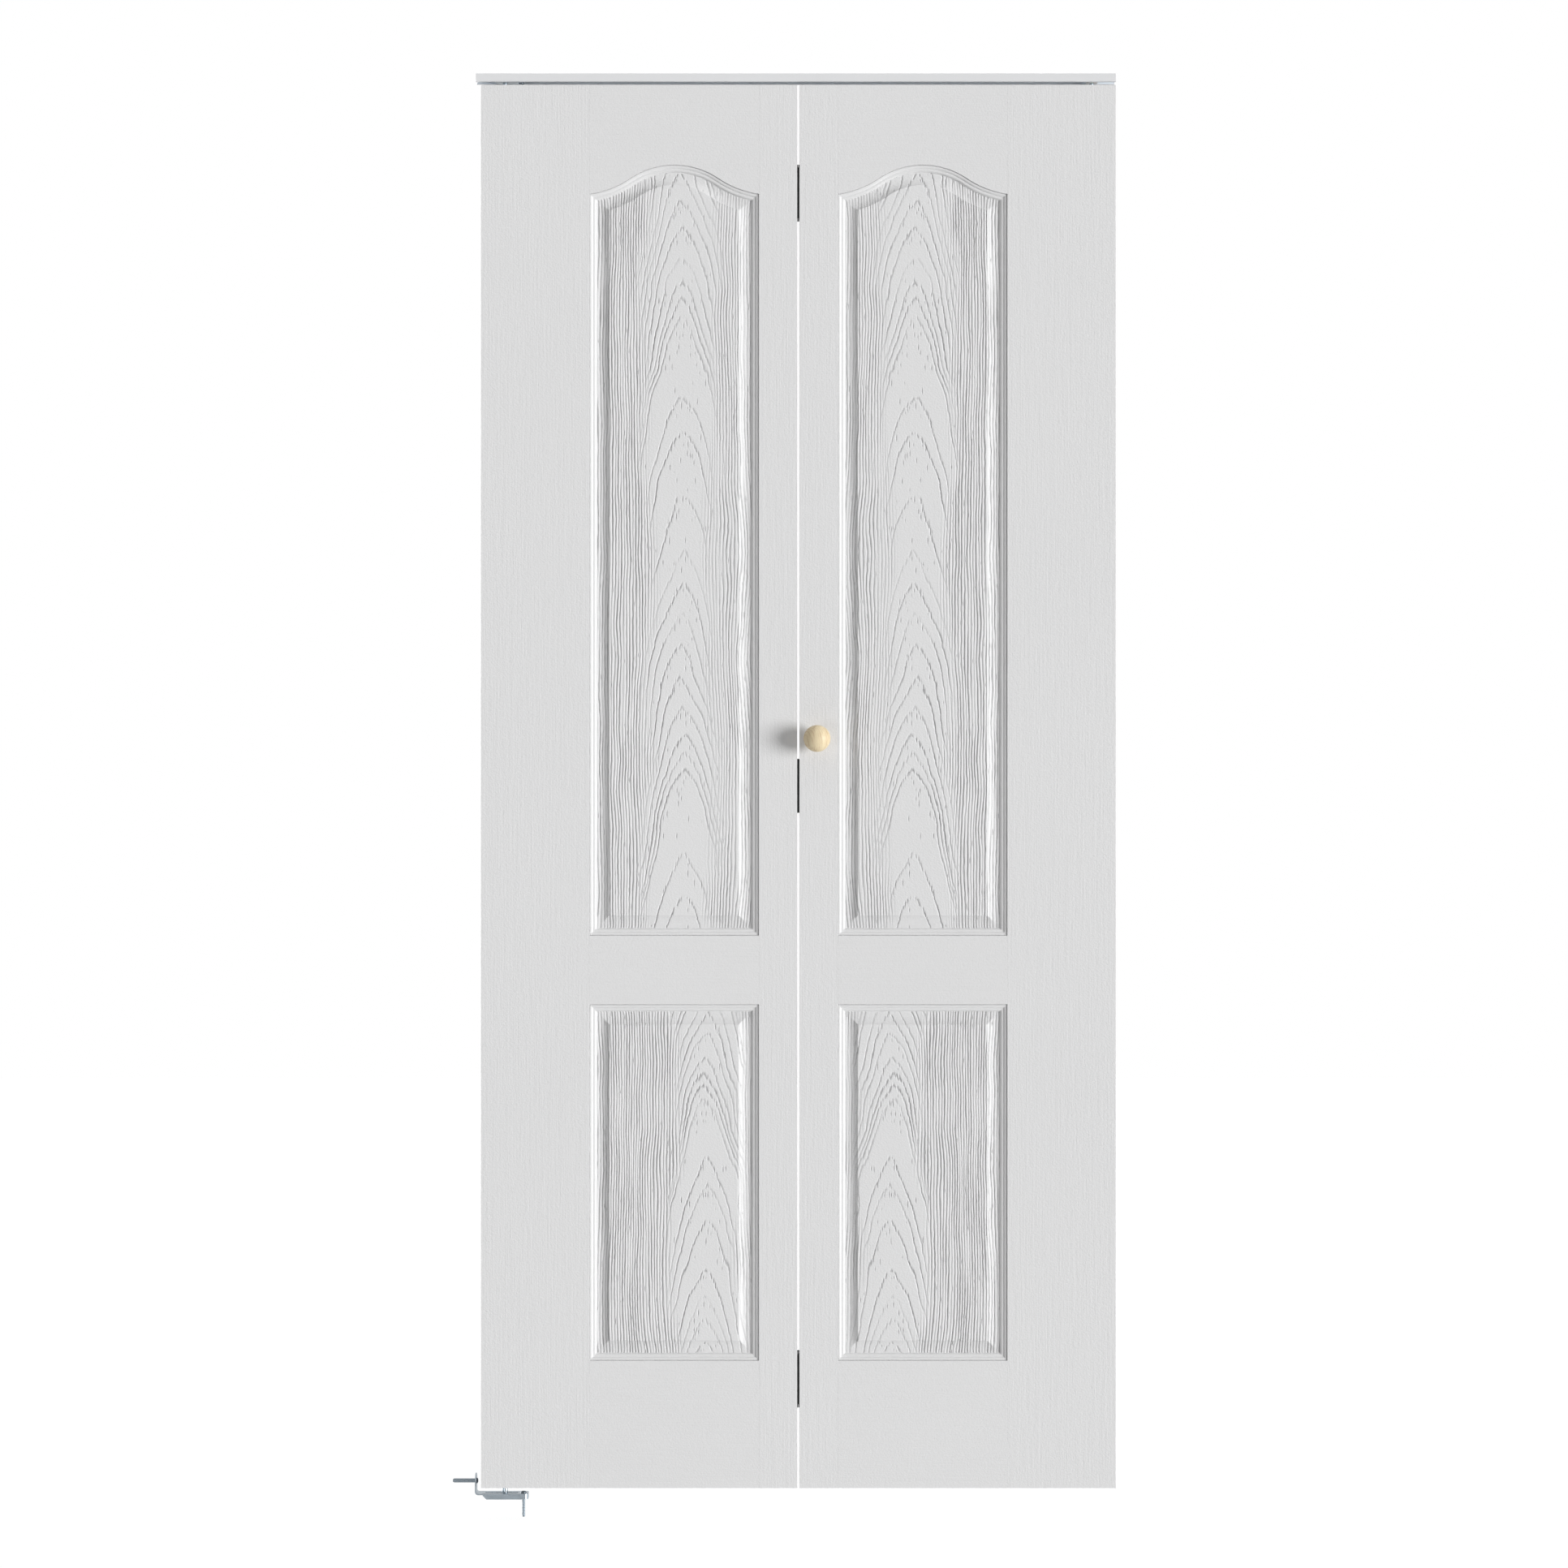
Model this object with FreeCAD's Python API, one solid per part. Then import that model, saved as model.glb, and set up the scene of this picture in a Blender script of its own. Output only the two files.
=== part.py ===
import FreeCAD, Part
import math
import os

# Two-leaf bifold closet door with its track, pivots, hinges and knob, in millimetres.
# X runs to the right, Y to the back and Z up. The origin is on the pivot axis, at the floor.

Vec = FreeCAD.Vector

# Leaves
leaf_width = 450.0
leaf_height = 1997.0
leaf_thickness = 35.0
leaf_gap = 3.2
floor_gap = 17.0
pivot_inset = 33.0

# Frame inside a leaf
skin_thickness = 3.2
outer_stile_width = 26.0
hinge_stile_width = 34.0
rail_height = 70.0

# Panels, as the widths of the flat face around and between them
outer_face = 154.0
hinge_face = 54.5
bottom_face = 181.0
lower_panel_height = 507.5
lock_face = 97.5
crest_face = 113.5

# Arch of the upper panel: its slopes in degrees, and the radius of the hollow shoulders over
# the radius of the crest. Its rise follows from the panel's width.
arch_corner_slope = 8.0
arch_steepest_slope = 34.0
arch_shoulder_ratio = 1.2

# Moulding, from the panel's edge inwards: a step, two beads, a sunk flat, a cove, the raised field
edge_step_width = 0.4
edge_step_depth = 1.2
outer_bead_width = 3.6
outer_bead_depth = 2.2
fillet_width = 1.2
inner_bead_width = 5.2
inner_bead_depth = 3.6
sunk_flat_width = 5.6
cove_width = 12.8
cove_rise = 5.4
bead_steps = 2
cove_steps = 4
cutter_margin = 1.0

# Back of the moulding, as offsets from the same outline
back_lead = 1.5
back_cove_delay = 4.0
back_field_delay = 1.2

# Paper core
core_columns = 3
core_half_cell = 92.0
core_paper = 0.8
core_glue_gap = 0.6

# Hinges
hinge_length = 76.2
hinge_plate_thickness = 1.4
hinge_plate_reach = 29.5
hinge_upper_drop = 151.0
hinge_lower_rise = 152.0
knuckle_radius = 3.5
knuckle_count = 5
knuckle_gap = 0.3
knuckle_clearance = 0.3
hinge_pin_radius = 1.6
hinge_pin_head_radius = 2.7
hinge_pin_head_height = 1.0
hinge_screw_pitch = 26.0
hinge_screw_stagger = 6.0

# Wood screws of the hinges
wood_screw_radius = 2.0
wood_screw_length = 22.0
wood_screw_head_radius = 3.4

# Pivot and guide sleeves in the leaves
sleeve_radius = 6.0
sleeve_length = 55.0
sleeve_floor = 2.0
sleeve_lip = 3.0
plunger_radius = 3.175
plunger_collar_radius = 4.3
plunger_collar_height = 8.0
plunger_chamfer = 1.0
spring_wire = 0.8
running_clearance = 0.08
rest_clearance = 0.2

# Bottom pivot pin
bottom_pin_radius = 3.85
bottom_pin_engagement = 38.0
spline_teeth = 6
spline_tip_radius = 3.3
spline_root_radius = 2.4
spline_tip_width = 1.0
spline_root_angle = 44.0

# Track
track_width = 28.6
track_height = 12.0
track_sheet = 1.0
track_slot = 18.0
track_bend_radius = 1.6
track_lift = 5.0
track_end_inset = 1.5
track_end_overhang = 0.5
track_hole_radius = 2.5
track_hole_end = 90.0
track_inner_hole_spacing = 243.8

# Top pivot bracket and its clamp screw
top_bracket_left = 14.0
top_bracket_right = 28.4
top_bracket_height = 7.0
top_bracket_wall = 2.4
top_bracket_floor = 2.2
top_bracket_chamfer = 1.2
slide_clearance = 0.3
nose_lift = 0.4
pivot_boss_radius = 6.5
clamp_screw_x = 23.3
clamp_screw_radius = 2.4
clamp_head_radius = 4.2
clamp_head_height = 2.4
clamp_crown_radius = 2.9
clamp_head_side = 1.4
top_pin_bearing = 6.6

# Guide wheel
wheel_radius = 8.5
wheel_height = 4.4
wheel_crown = 0.6
wheel_axle_radius = 2.5
wheel_recess_radius = 4.4
wheel_recess_depth = 1.2
wheel_head_radius = 4.0
wheel_drop = 0.4
axial_clearance = 0.15

# Floor bracket
jamb_distance = 42.0
bracket_sheet = 1.6
bracket_width = 28.0
bracket_bend_radius = 4.5
bracket_leg_height = 36.0
foot_height = 7.8
foot_right = 33.5
foot_corner_radius = 5.0
skirt_left = 31.0
skirt_chamfer = 5.4
slot_pitch = 3.0
slot_notches_left = 9
slot_notches_right = 6
slot_tip_half = 2.6
slot_root_half = 3.45
slot_notch_width = 1.4
slot_tip_width = 0.6

# Jamb screw and floor screw
jamb_screw_height = 25.0
jamb_screw_radius = 3.0
jamb_screw_length = 34.0
jamb_head_radius = 4.1
jamb_head_height = 2.2
floor_screw_x = 26.6
floor_screw_radius = 2.1
floor_screw_length = 34.5
floor_head_radius = 4.0
floor_head_height = 2.2
screw_clearance = 0.05

# Shape of every domed screw, as shares of its head's radius and height and of its shank's radius
dome_crown_share = 0.6
dome_shoulder_share = 0.9
dome_side_share = 0.6
screw_tip_share = 0.35

# Knob and its screw
knob_radius = 19.05
knob_from_hinge_edge = 24.8
knob_height = 1066.5
knob_foot_radius = 10.5
knob_foot_height = 3.0
knob_foot_taper = 1.2
knob_waist_radius = 6.5
knob_neck_radius = 7.6
knob_neck_height = 9.0
knob_flat_radius = 7.0
knob_screw_radius = 2.0
knob_screw_depth = 18.0
knob_screw_head_radius = 4.0
knob_screw_head_height = 2.3

# Places that follow from the sizes above
half_thickness = leaf_thickness / 2
core_half = half_thickness - skin_thickness
leaf_bottom = floor_gap
leaf_top = leaf_bottom + leaf_height
hinge_edge_x = leaf_width - pivot_inset
hinge_axis_x = hinge_edge_x + leaf_gap / 2
hinge_axis_y = half_thickness + knuckle_clearance + knuckle_radius
guide_x = 2 * hinge_axis_x
moulding_depth = edge_step_depth + outer_bead_depth + inner_bead_depth
track_bottom = leaf_top + track_lift
track_top = track_bottom + track_height
track_left = track_end_inset - jamb_distance
track_right = guide_x + pivot_inset + track_end_overhang
lip_top = track_bottom + track_sheet
web_bottom = track_top - track_sheet
rail_length = leaf_width - outer_stile_width - hinge_stile_width
wheel_bottom = track_bottom - wheel_drop
wheel_top = wheel_bottom + wheel_height
jamb_face_x = -jamb_distance
knob_x = hinge_edge_x + leaf_gap + knob_from_hinge_edge
knob_z = leaf_bottom + knob_height

tolerance = 1e-6
UP = Vec(0, 0, 1)
DOWN = Vec(0, 0, -1)
LEFT = Vec(-1, 0, 0)
RIGHT = Vec(1, 0, 0)
FRONT = Vec(0, -1, 0)
BACK = Vec(0, 1, 0)


def block(low, high):
    """A box between two corners."""
    size = [b - a for a, b in zip(low, high)]
    return Part.makeBox(size[0], size[1], size[2], Vec(*low))


def rod(radius, base, direction, length):
    """A plain cylinder from its base along a direction."""
    return Part.makeCylinder(radius, length, Vec(*base), direction)


def turned(outline, base, direction):
    """A turned solid from a closed outline of (radius, distance along the axis) or of edges."""
    if isinstance(outline, list):
        corners = [Vec(r, 0, h) for r, h in outline]
        outline = Part.makePolygon(corners + corners[:1])
    solid = Part.Face(outline).revolve(Vec(0, 0, 0), UP, 360)
    solid.Placement = FreeCAD.Placement(Vec(*base), FreeCAD.Rotation(UP, direction))
    return solid


def prism(corners, direction):
    """A straight prism on a closed outline of corners."""
    face = Part.Face(Part.makePolygon(corners + corners[:1]))
    return face.extrude(direction)


def mirrored(shape):
    """The same piece on the lead leaf, which mirrors the pivot leaf about the hinge axis."""
    return shape.mirror(Vec(hinge_axis_x, 0, 0), RIGHT)


def export(name, shape):
    shape.exportStep("parts/" + name + ".step")


# Panels and their moulding

class Panel:
    """A moulded panel of the pivot leaf, from the height of its bottom to that of its top."""

    def __init__(self, bottom, top, arched):
        self.left = outer_face - pivot_inset
        self.right = hinge_edge_x - hinge_face
        self.bottom = bottom
        self.top = top
        self.arched = arched

    def outline(self, inset, depth):
        """Edges of the outline, moved inwards by inset, at a depth behind the front face."""
        y = depth - half_thickness
        left = self.left + inset
        right = self.right - inset
        low = Vec(left, y, self.bottom + inset), Vec(right, y, self.bottom + inset)
        if not self.arched:
            top = self.top - inset
            corners = [low[0], low[1], Vec(right, y, top), Vec(left, y, top), low[0]]
            return [Part.makeLine(a, b) for a, b in zip(corners, corners[1:])]
        return self.arched_outline(inset, y, low)

    def arched_outline(self, inset, y, low):
        """Straight bottom and sides under one crest arc between two hollow shoulder arcs."""
        half = (self.right - self.left) / 2
        middle = (self.right + self.left) / 2
        crest_radius, shoulder_radius = arch_radii(half)
        steep = math.radians(arch_steepest_slope)
        crest_z = self.top - crest_radius
        apart = crest_radius + shoulder_radius
        centre_x = apart * math.sin(steep)
        centre_z = crest_z + apart * math.cos(steep)
        shoulder = shoulder_radius + inset
        crest = crest_radius - inset
        corner_turn = math.asin((centre_x - half + inset) / shoulder)

        def on_shoulder(side, turn):
            x = centre_x - shoulder * math.sin(turn)
            return Vec(middle + side * x, y, centre_z - shoulder * math.cos(turn))

        halfway = (steep + corner_turn) / 2
        right = [on_shoulder(1, turn) for turn in (corner_turn, halfway, steep)]
        left = [on_shoulder(-1, turn) for turn in (steep, halfway, corner_turn)]
        top = Vec(middle, y, crest_z + crest)
        return [
            Part.makeLine(low[0], low[1]),
            Part.makeLine(low[1], right[0]),
            Part.Arc(*right).toShape(),
            Part.Arc(right[2], top, left[0]).toShape(),
            Part.Arc(*left).toShape(),
            Part.makeLine(left[2], low[0]),
        ]

    def solid(self, levels):
        """The closed solid through the outlines at these (inset, depth) levels."""
        rings = [self.outline(*level) for level in levels]
        faces = [Part.Face(Part.Wire(ring)) for ring in (rings[0], rings[-1])]
        for near, far in zip(rings, rings[1:]):
            faces += [Part.makeRuledSurface(a, b) for a, b in zip(near, far)]
        shell = Part.makeShell(faces)
        shell.sewShape()
        solid = Part.makeSolid(shell)
        if solid.Volume < 0:
            solid.reverse()
        return solid


def arch_radii(half_width):
    """Radii of the crest and of the shoulders that together reach from the middle to a side."""
    steep = math.sin(math.radians(arch_steepest_slope))
    corner = math.sin(math.radians(arch_corner_slope))
    crest = half_width / (steep + arch_shoulder_ratio * (steep - corner))
    return crest, arch_shoulder_ratio * crest


def bead(start, width, drop):
    """Levels down a rounded bead that starts flat and ends steep."""
    turns = [math.pi / 2 * step / bead_steps for step in range(1, bead_steps + 1)]
    inset, depth = start
    return [(inset + width * math.sin(t), depth + drop * (1 - math.cos(t))) for t in turns]


def cove(start, width, rise):
    """Levels up a hollow arc that starts flat and ends at the field's edge."""
    total = 2 * math.atan2(rise, width)
    radius = width / math.sin(total)
    turns = [total * step / cove_steps for step in range(1, cove_steps + 1)]
    inset, depth = start
    return [(inset + radius * math.sin(t), depth - radius * (1 - math.cos(t))) for t in turns]


def front_levels():
    """The moulding's front from the flat face inwards to the raised field."""
    clear_of_face = (0.0, -cutter_margin)
    levels = [clear_of_face, (0.0, 0.0), (edge_step_width, edge_step_depth)]
    levels += bead(levels[-1], outer_bead_width, outer_bead_depth)
    levels.append((levels[-1][0] + fillet_width, levels[-1][1]))
    levels += bead(levels[-1], inner_bead_width, inner_bead_depth)
    levels.append((levels[-1][0] + sunk_flat_width, levels[-1][1]))
    return levels + cove(levels[-1], cove_width, cove_rise)


def back_levels():
    """The moulding's back, one skin thickness behind the front."""
    beads_end = edge_step_width + outer_bead_width + fillet_width + inner_bead_width
    cove_start = beads_end + sunk_flat_width
    field_edge = cove_start + cove_width
    field_depth = moulding_depth - cove_rise
    return [
        (-back_lead, skin_thickness / 2),
        (-back_lead, skin_thickness),
        (beads_end, moulding_depth + skin_thickness),
        (cove_start + back_cove_delay, moulding_depth + skin_thickness),
        (field_edge + back_field_delay, field_depth + skin_thickness),
    ]


def panels():
    lower_bottom = leaf_bottom + bottom_face
    lower_top = lower_bottom + lower_panel_height
    lower = Panel(lower_bottom, lower_top, False)
    upper = Panel(lower_top + lock_face, leaf_top - crest_face, True)
    return [lower, upper]


# Pieces of a leaf, made for the pivot leaf

def front_skin():
    low = (-pivot_inset, -half_thickness, leaf_bottom)
    high = (hinge_edge_x, -half_thickness + skin_thickness, leaf_top)
    skin = block(low, high)
    skin = skin.fuse([panel.solid(back_levels()) for panel in panels()])
    return skin.cut([panel.solid(front_levels()) for panel in panels()])


def outer_stile():
    low = (-pivot_inset, -core_half, leaf_bottom)
    high = (outer_stile_width - pivot_inset, core_half, leaf_top)
    return block(low, high)


def hinge_stile():
    low = (hinge_edge_x - hinge_stile_width, -core_half, leaf_bottom)
    return block(low, (hinge_edge_x, core_half, leaf_top))


def rail(bottom):
    left = outer_stile_width - pivot_inset
    return block((left, -core_half, bottom), (left + rail_length, core_half, bottom + rail_height))


def core_ribbon(column, cells):
    """One zigzag strip of the paper core. Neighbouring strips mirror each other."""
    column_width = rail_length / core_columns
    middle = outer_stile_width - pivot_inset + (column + 0.5) * column_width
    swing = (column_width - core_paper * 2 - core_glue_gap) / 2
    bottom = leaf_bottom + rail_height
    half_cell = (leaf_height - 2 * rail_height) / cells
    side = 1 if column % 2 else -1
    line = []
    for step in range(cells + 1):
        line.append((middle + side * swing, bottom + step * half_cell))
        side = -side
    right = [Vec(x + core_paper, -core_half, z) for x, z in line]
    left = [Vec(x - core_paper, -core_half, z) for x, z in reversed(line)]
    return prism(right + left, Vec(0, 2 * core_half, 0))


def paper_core():
    """The expanded honeycomb, crushed thinner behind the moulded panels."""
    cells = round((leaf_height - 2 * rail_height) / core_half_cell)
    ribbons = [core_ribbon(column, cells) for column in range(core_columns)]
    crushed = []
    crush = (-back_lead, skin_thickness), (-back_lead, moulding_depth + skin_thickness)
    for panel in panels():
        pocket = panel.solid(crush)
        crushed += [pocket, pocket.mirror(Vec(0, 0, 0), BACK)]
    return Part.makeCompound([ribbon.cut(crushed) for ribbon in ribbons])


def plunger_sleeve(x):
    """A sleeve set in the leaf's top, closed below, with a lip that keeps the plunger in."""
    bore = plunger_collar_radius + running_clearance
    mouth = plunger_radius + running_clearance
    outline = [
        (0, 0),
        (sleeve_radius, 0),
        (sleeve_radius, sleeve_length),
        (mouth, sleeve_length),
        (mouth, sleeve_length - sleeve_lip),
        (bore, sleeve_length - sleeve_lip),
        (bore, sleeve_floor),
        (0, sleeve_floor),
    ]
    return turned(outline, (x, 0, leaf_top - sleeve_length), UP)


def plunger_spring(x):
    """The space of the coil spring between the sleeve's floor and the plunger's collar."""
    low = leaf_top - sleeve_length + sleeve_floor
    high = leaf_top - sleeve_lip - rest_clearance - plunger_collar_height
    inner = plunger_collar_radius - spring_wire
    outline = [
        (inner, 0),
        (plunger_collar_radius, 0),
        (plunger_collar_radius, high - low),
        (inner, high - low),
    ]
    return turned(outline, (x, 0, low), UP)


def plunger_shank(tip):
    """Outline of a plunger from its collar up to the height where its tip begins."""
    collar_top = leaf_top - sleeve_lip - rest_clearance
    base = collar_top - plunger_collar_height
    outline = [
        (0, 0),
        (plunger_collar_radius, 0),
        (plunger_collar_radius, plunger_collar_height),
        (plunger_radius, plunger_collar_height),
        (plunger_radius, tip - base),
    ]
    return base, outline


def top_pivot_pin():
    tip = lip_top + top_pin_bearing
    base, outline = plunger_shank(tip - plunger_chamfer)
    outline.append((plunger_radius - plunger_chamfer, tip - base))
    outline.append((0, tip - base))
    return turned(outline, (0, 0, base), UP)


def guide_pin():
    """The plunger of the lead leaf, with a riveted axle for the wheel."""
    shoulder = wheel_bottom - axial_clearance
    base, outline = plunger_shank(shoulder)
    head_low = wheel_top - wheel_recess_depth + axial_clearance - base
    head_high = wheel_top - base
    outline += [
        (wheel_axle_radius, shoulder - base),
        (wheel_axle_radius, head_low),
        (wheel_head_radius, head_low),
        (wheel_head_radius, (head_low + head_high) / 2),
        (wheel_axle_radius, head_high),
        (0, head_high),
    ]
    return turned(outline, (guide_x, 0, base), UP)


def guide_wheel():
    bore = wheel_axle_radius + running_clearance
    outline = [
        (bore, 0),
        (wheel_radius - wheel_crown, 0),
        (wheel_radius, wheel_crown),
        (wheel_radius, wheel_height - wheel_crown),
        (wheel_radius - wheel_crown, wheel_height),
        (wheel_recess_radius, wheel_height),
        (wheel_recess_radius, wheel_height - wheel_recess_depth),
        (bore, wheel_height - wheel_recess_depth),
    ]
    return turned(outline, (guide_x, 0, wheel_bottom), UP)


def bottom_sleeve():
    """The sleeve in the leaf's bottom, closed above, that turns on the bottom pin."""
    bore = bottom_pin_radius + running_clearance
    depth = bottom_pin_engagement + running_clearance
    outline = [
        (bore, 0),
        (sleeve_radius, 0),
        (sleeve_radius, sleeve_length),
        (0, sleeve_length),
        (0, depth),
        (bore, depth),
    ]
    return turned(outline, (0, 0, leaf_bottom), UP)


# Hinges

def hinge_heights():
    """The lowest point of each hinge, by name. The middle hinge is halfway between the others."""
    upper = leaf_top - hinge_upper_drop
    lower = leaf_bottom + hinge_lower_rise
    middles = {"upper": upper, "middle": (upper + lower) / 2, "lower": lower}
    return {name: middle - hinge_length / 2 for name, middle in middles.items()}


def hinge_screw_places(low):
    """Height and depth of each screw of a hinge plate, staggered about the plate's middle."""
    middle_y = half_thickness - (hinge_plate_reach / 2)
    places = []
    for step in (-1, 0, 1):
        y = middle_y + (hinge_screw_stagger if step else -hinge_screw_stagger)
        places.append((low + hinge_length / 2 + step * hinge_screw_pitch, y))
    return places


def wood_screw(extra=0.0):
    """A screw whose countersunk head is as deep as the plate, larger by extra for its hole."""
    return [
        (0, 0),
        (wood_screw_head_radius + extra, 0),
        (wood_screw_radius + extra, hinge_plate_thickness),
        (wood_screw_radius + extra, wood_screw_length + extra),
        (0, wood_screw_length + extra),
    ]


def hinge_screws(extra=0.0):
    """The screws of the pivot leaf's three plates, driven into the stile's edge."""
    head_x = hinge_edge_x + hinge_plate_thickness
    screws = []
    for low in hinge_heights().values():
        for z, y in hinge_screw_places(low):
            screws.append(turned(wood_screw(extra), (head_x, y, z), LEFT))
    return screws


def hinge_plate(low, first_knuckle):
    """A plate on the pivot leaf's edge with every second knuckle, starting at first_knuckle."""
    plate_x = hinge_edge_x + hinge_plate_thickness
    front = half_thickness - hinge_plate_reach
    plate = block((hinge_edge_x, front, low), (plate_x, half_thickness, low + hinge_length))
    knuckle_length = hinge_length / knuckle_count
    knuckles = []
    for index in range(first_knuckle, knuckle_count, 2):
        bottom = low + index * knuckle_length + (knuckle_gap / 2 if index else 0)
        top = low + (index + 1) * knuckle_length
        if index + 1 < knuckle_count:
            top -= knuckle_gap / 2
        web_low = (hinge_edge_x, half_thickness - hinge_plate_thickness, bottom)
        knuckles.append(block(web_low, (plate_x, hinge_axis_y, top)))
        base = (hinge_axis_x, hinge_axis_y, bottom)
        knuckles.append(rod(knuckle_radius, base, UP, top - bottom))
    plate = plate.fuse(knuckles)
    bore_radius = hinge_pin_radius + running_clearance
    cutters = [rod(bore_radius, (hinge_axis_x, hinge_axis_y, low), UP, hinge_length)]
    for z, y in hinge_screw_places(low):
        cutters.append(turned(wood_screw(screw_clearance), (plate_x, y, z), LEFT))
    return plate.cut(cutters)


def hinge_pin(low):
    outline = [
        (0, 0),
        (hinge_pin_radius, 0),
        (hinge_pin_radius, hinge_length),
        (hinge_pin_head_radius, hinge_length),
        (hinge_pin_head_radius, hinge_length + hinge_pin_head_height / 2),
        (hinge_pin_radius, hinge_length + hinge_pin_head_height),
        (0, hinge_length + hinge_pin_head_height),
    ]
    return turned(outline, (hinge_axis_x, hinge_axis_y, low), UP)


# Track and top pivot bracket

def track():
    """Rolled channel, open below between two lips, with screw holes in its web."""
    half = track_width / 2
    outer = block((track_left, -half, track_bottom), (track_right, half, track_top))
    outer = rounded_along_x(outer, track_bend_radius)
    inner = block(
        (track_left, track_sheet - half, lip_top),
        (track_right, half - track_sheet, web_bottom),
    )
    inner = rounded_along_x(inner, track_bend_radius - track_sheet)
    slot_low = (track_left, -track_slot / 2, track_bottom)
    slot = block(slot_low, (track_right, track_slot / 2, lip_top))
    holes = []
    middle = (track_left + track_right) / 2
    outer_offset = (track_right - track_left) / 2 - track_hole_end
    for offset in (track_inner_hole_spacing / 2, outer_offset):
        for side in (-1, 1):
            base = (middle + side * offset, 0, web_bottom)
            holes.append(rod(track_hole_radius, base, UP, track_sheet))
    return outer.cut([inner, slot] + holes)


def rounded_along_x(box, radius):
    """The box with its four edges along X rounded."""
    edges = [edge for edge in box.Edges if is_along_x(edge)]
    return box.makeFillet(radius, edges)


def is_along_x(edge):
    start, end = [vertex.Point for vertex in edge.Vertexes]
    return abs(abs(start.x - end.x) - edge.Length) < tolerance * edge.Length


def top_bracket():
    """Die-cast slider on the track's lips: a tray with a pivot boss and a clamp-screw boss."""
    half = track_width / 2 - track_sheet - slide_clearance
    left, right = -top_bracket_left, top_bracket_right
    top = lip_top + top_bracket_height
    body = block((left, -half, lip_top), (right, half, top))
    upright = [edge for edge in body.Edges if abs(edge.BoundBox.ZLength - edge.Length) < tolerance]
    body = body.makeChamfer(top_bracket_chamfer, upright)
    pocket_low = (left + top_bracket_wall, top_bracket_wall - half, lip_top + top_bracket_floor)
    pocket = block(pocket_low, (right - top_bracket_wall, half - top_bracket_wall, top))
    body = body.cut(pocket)
    nose_half = track_slot / 2 - slide_clearance
    nose_low = (left + top_bracket_wall, -nose_half, track_bottom + nose_lift)
    nose = block(nose_low, (right - top_bracket_wall, nose_half, lip_top + top_bracket_floor))
    boss = rod(pivot_boss_radius, (0, 0, lip_top), UP, top_bracket_height)
    clamp_boss_radius = right - clamp_screw_x
    clamp_boss = rod(clamp_boss_radius, (clamp_screw_x, 0, lip_top), UP, top_bracket_height)
    body = body.fuse([nose, boss, clamp_boss])
    low = track_bottom
    pin_bore = rod(plunger_radius + running_clearance, (0, 0, low), UP, top - low)
    screw_bore = rod(clamp_screw_radius + screw_clearance, (clamp_screw_x, 0, low), UP, top - low)
    return body.cut([pin_bore, screw_bore])


def clamp_screw():
    """Pan-head screw that presses the bracket against the track's web from below."""
    head_top = track_bottom + nose_lift
    length = web_bottom - head_top
    outline = [
        (0, -clamp_head_height),
        (clamp_crown_radius, -clamp_head_height),
        (clamp_head_radius, -clamp_head_side),
        (clamp_head_radius, 0),
        (clamp_screw_radius, 0),
        (clamp_screw_radius, length),
        (0, length),
    ]
    return turned(outline, (clamp_screw_x, 0, head_top), UP)


# Floor bracket, bottom pin and the screws that hold the bracket

def foot_outline(offset, left, z):
    """The foot's plan: straight at the left, rounded corners at the right, moved in by offset."""
    half = bracket_width / 2 - offset
    right = foot_right - offset
    corner = foot_corner_radius - offset
    inner_x = right - corner
    inner_y = half - corner
    eighth = corner * math.sqrt(0.5)
    edges = [
        Part.makeLine(Vec(left, -half, z), Vec(inner_x, -half, z)),
        Part.Arc(
            Vec(inner_x, -half, z),
            Vec(inner_x + eighth, -inner_y - eighth, z),
            Vec(right, -inner_y, z),
        ).toShape(),
        Part.makeLine(Vec(right, -inner_y, z), Vec(right, inner_y, z)),
        Part.Arc(
            Vec(right, inner_y, z),
            Vec(inner_x + eighth, inner_y + eighth, z),
            Vec(inner_x, half, z),
        ).toShape(),
        Part.makeLine(Vec(inner_x, half, z), Vec(left, half, z)),
        Part.makeLine(Vec(left, half, z), Vec(left, -half, z)),
    ]
    return Part.Face(Part.Wire(edges))


def bracket_strip():
    """Jamb leg, bend and foot plate as one bent strip."""
    half = bracket_width / 2
    outer = bracket_bend_radius
    inner = outer - bracket_sheet
    centre = Vec(jamb_face_x + outer, -half, foot_height - bracket_sheet + outer)
    eighth = math.sqrt(0.5)

    def corner(radius):
        return centre + Vec(-radius * eighth, 0, -radius * eighth)

    left_x = centre - Vec(outer, 0, 0)
    right_x = centre - Vec(inner, 0, 0)
    top = bracket_leg_height
    low = centre - Vec(0, 0, outer)
    high = centre - Vec(0, 0, inner)
    far_low = Vec(foot_right, -half, low.z)
    far_high = Vec(foot_right, -half, high.z)
    leg_outer = Vec(left_x.x, -half, top)
    leg_inner = Vec(right_x.x, -half, top)
    edges = [
        Part.makeLine(leg_outer, left_x),
        Part.Arc(left_x, corner(outer), low).toShape(),
        Part.makeLine(low, far_low),
        Part.makeLine(far_low, far_high),
        Part.makeLine(far_high, high),
        Part.Arc(high, corner(inner), right_x).toShape(),
        Part.makeLine(right_x, leg_inner),
        Part.makeLine(leg_inner, leg_outer),
    ]
    strip = Part.Face(Part.Wire(edges)).extrude(Vec(0, bracket_width, 0))
    plan = foot_outline(0.0, jamb_face_x, 0.0).extrude(Vec(0, 0, bracket_leg_height))
    leg_end = rod(half, (jamb_face_x, 0, bracket_leg_height - half), RIGHT, bracket_sheet)
    below_end = block(
        (jamb_face_x, -half, 0),
        (foot_right, half, bracket_leg_height - half),
    )
    return strip.common(plan).common(leg_end.fuse(below_end))


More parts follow.
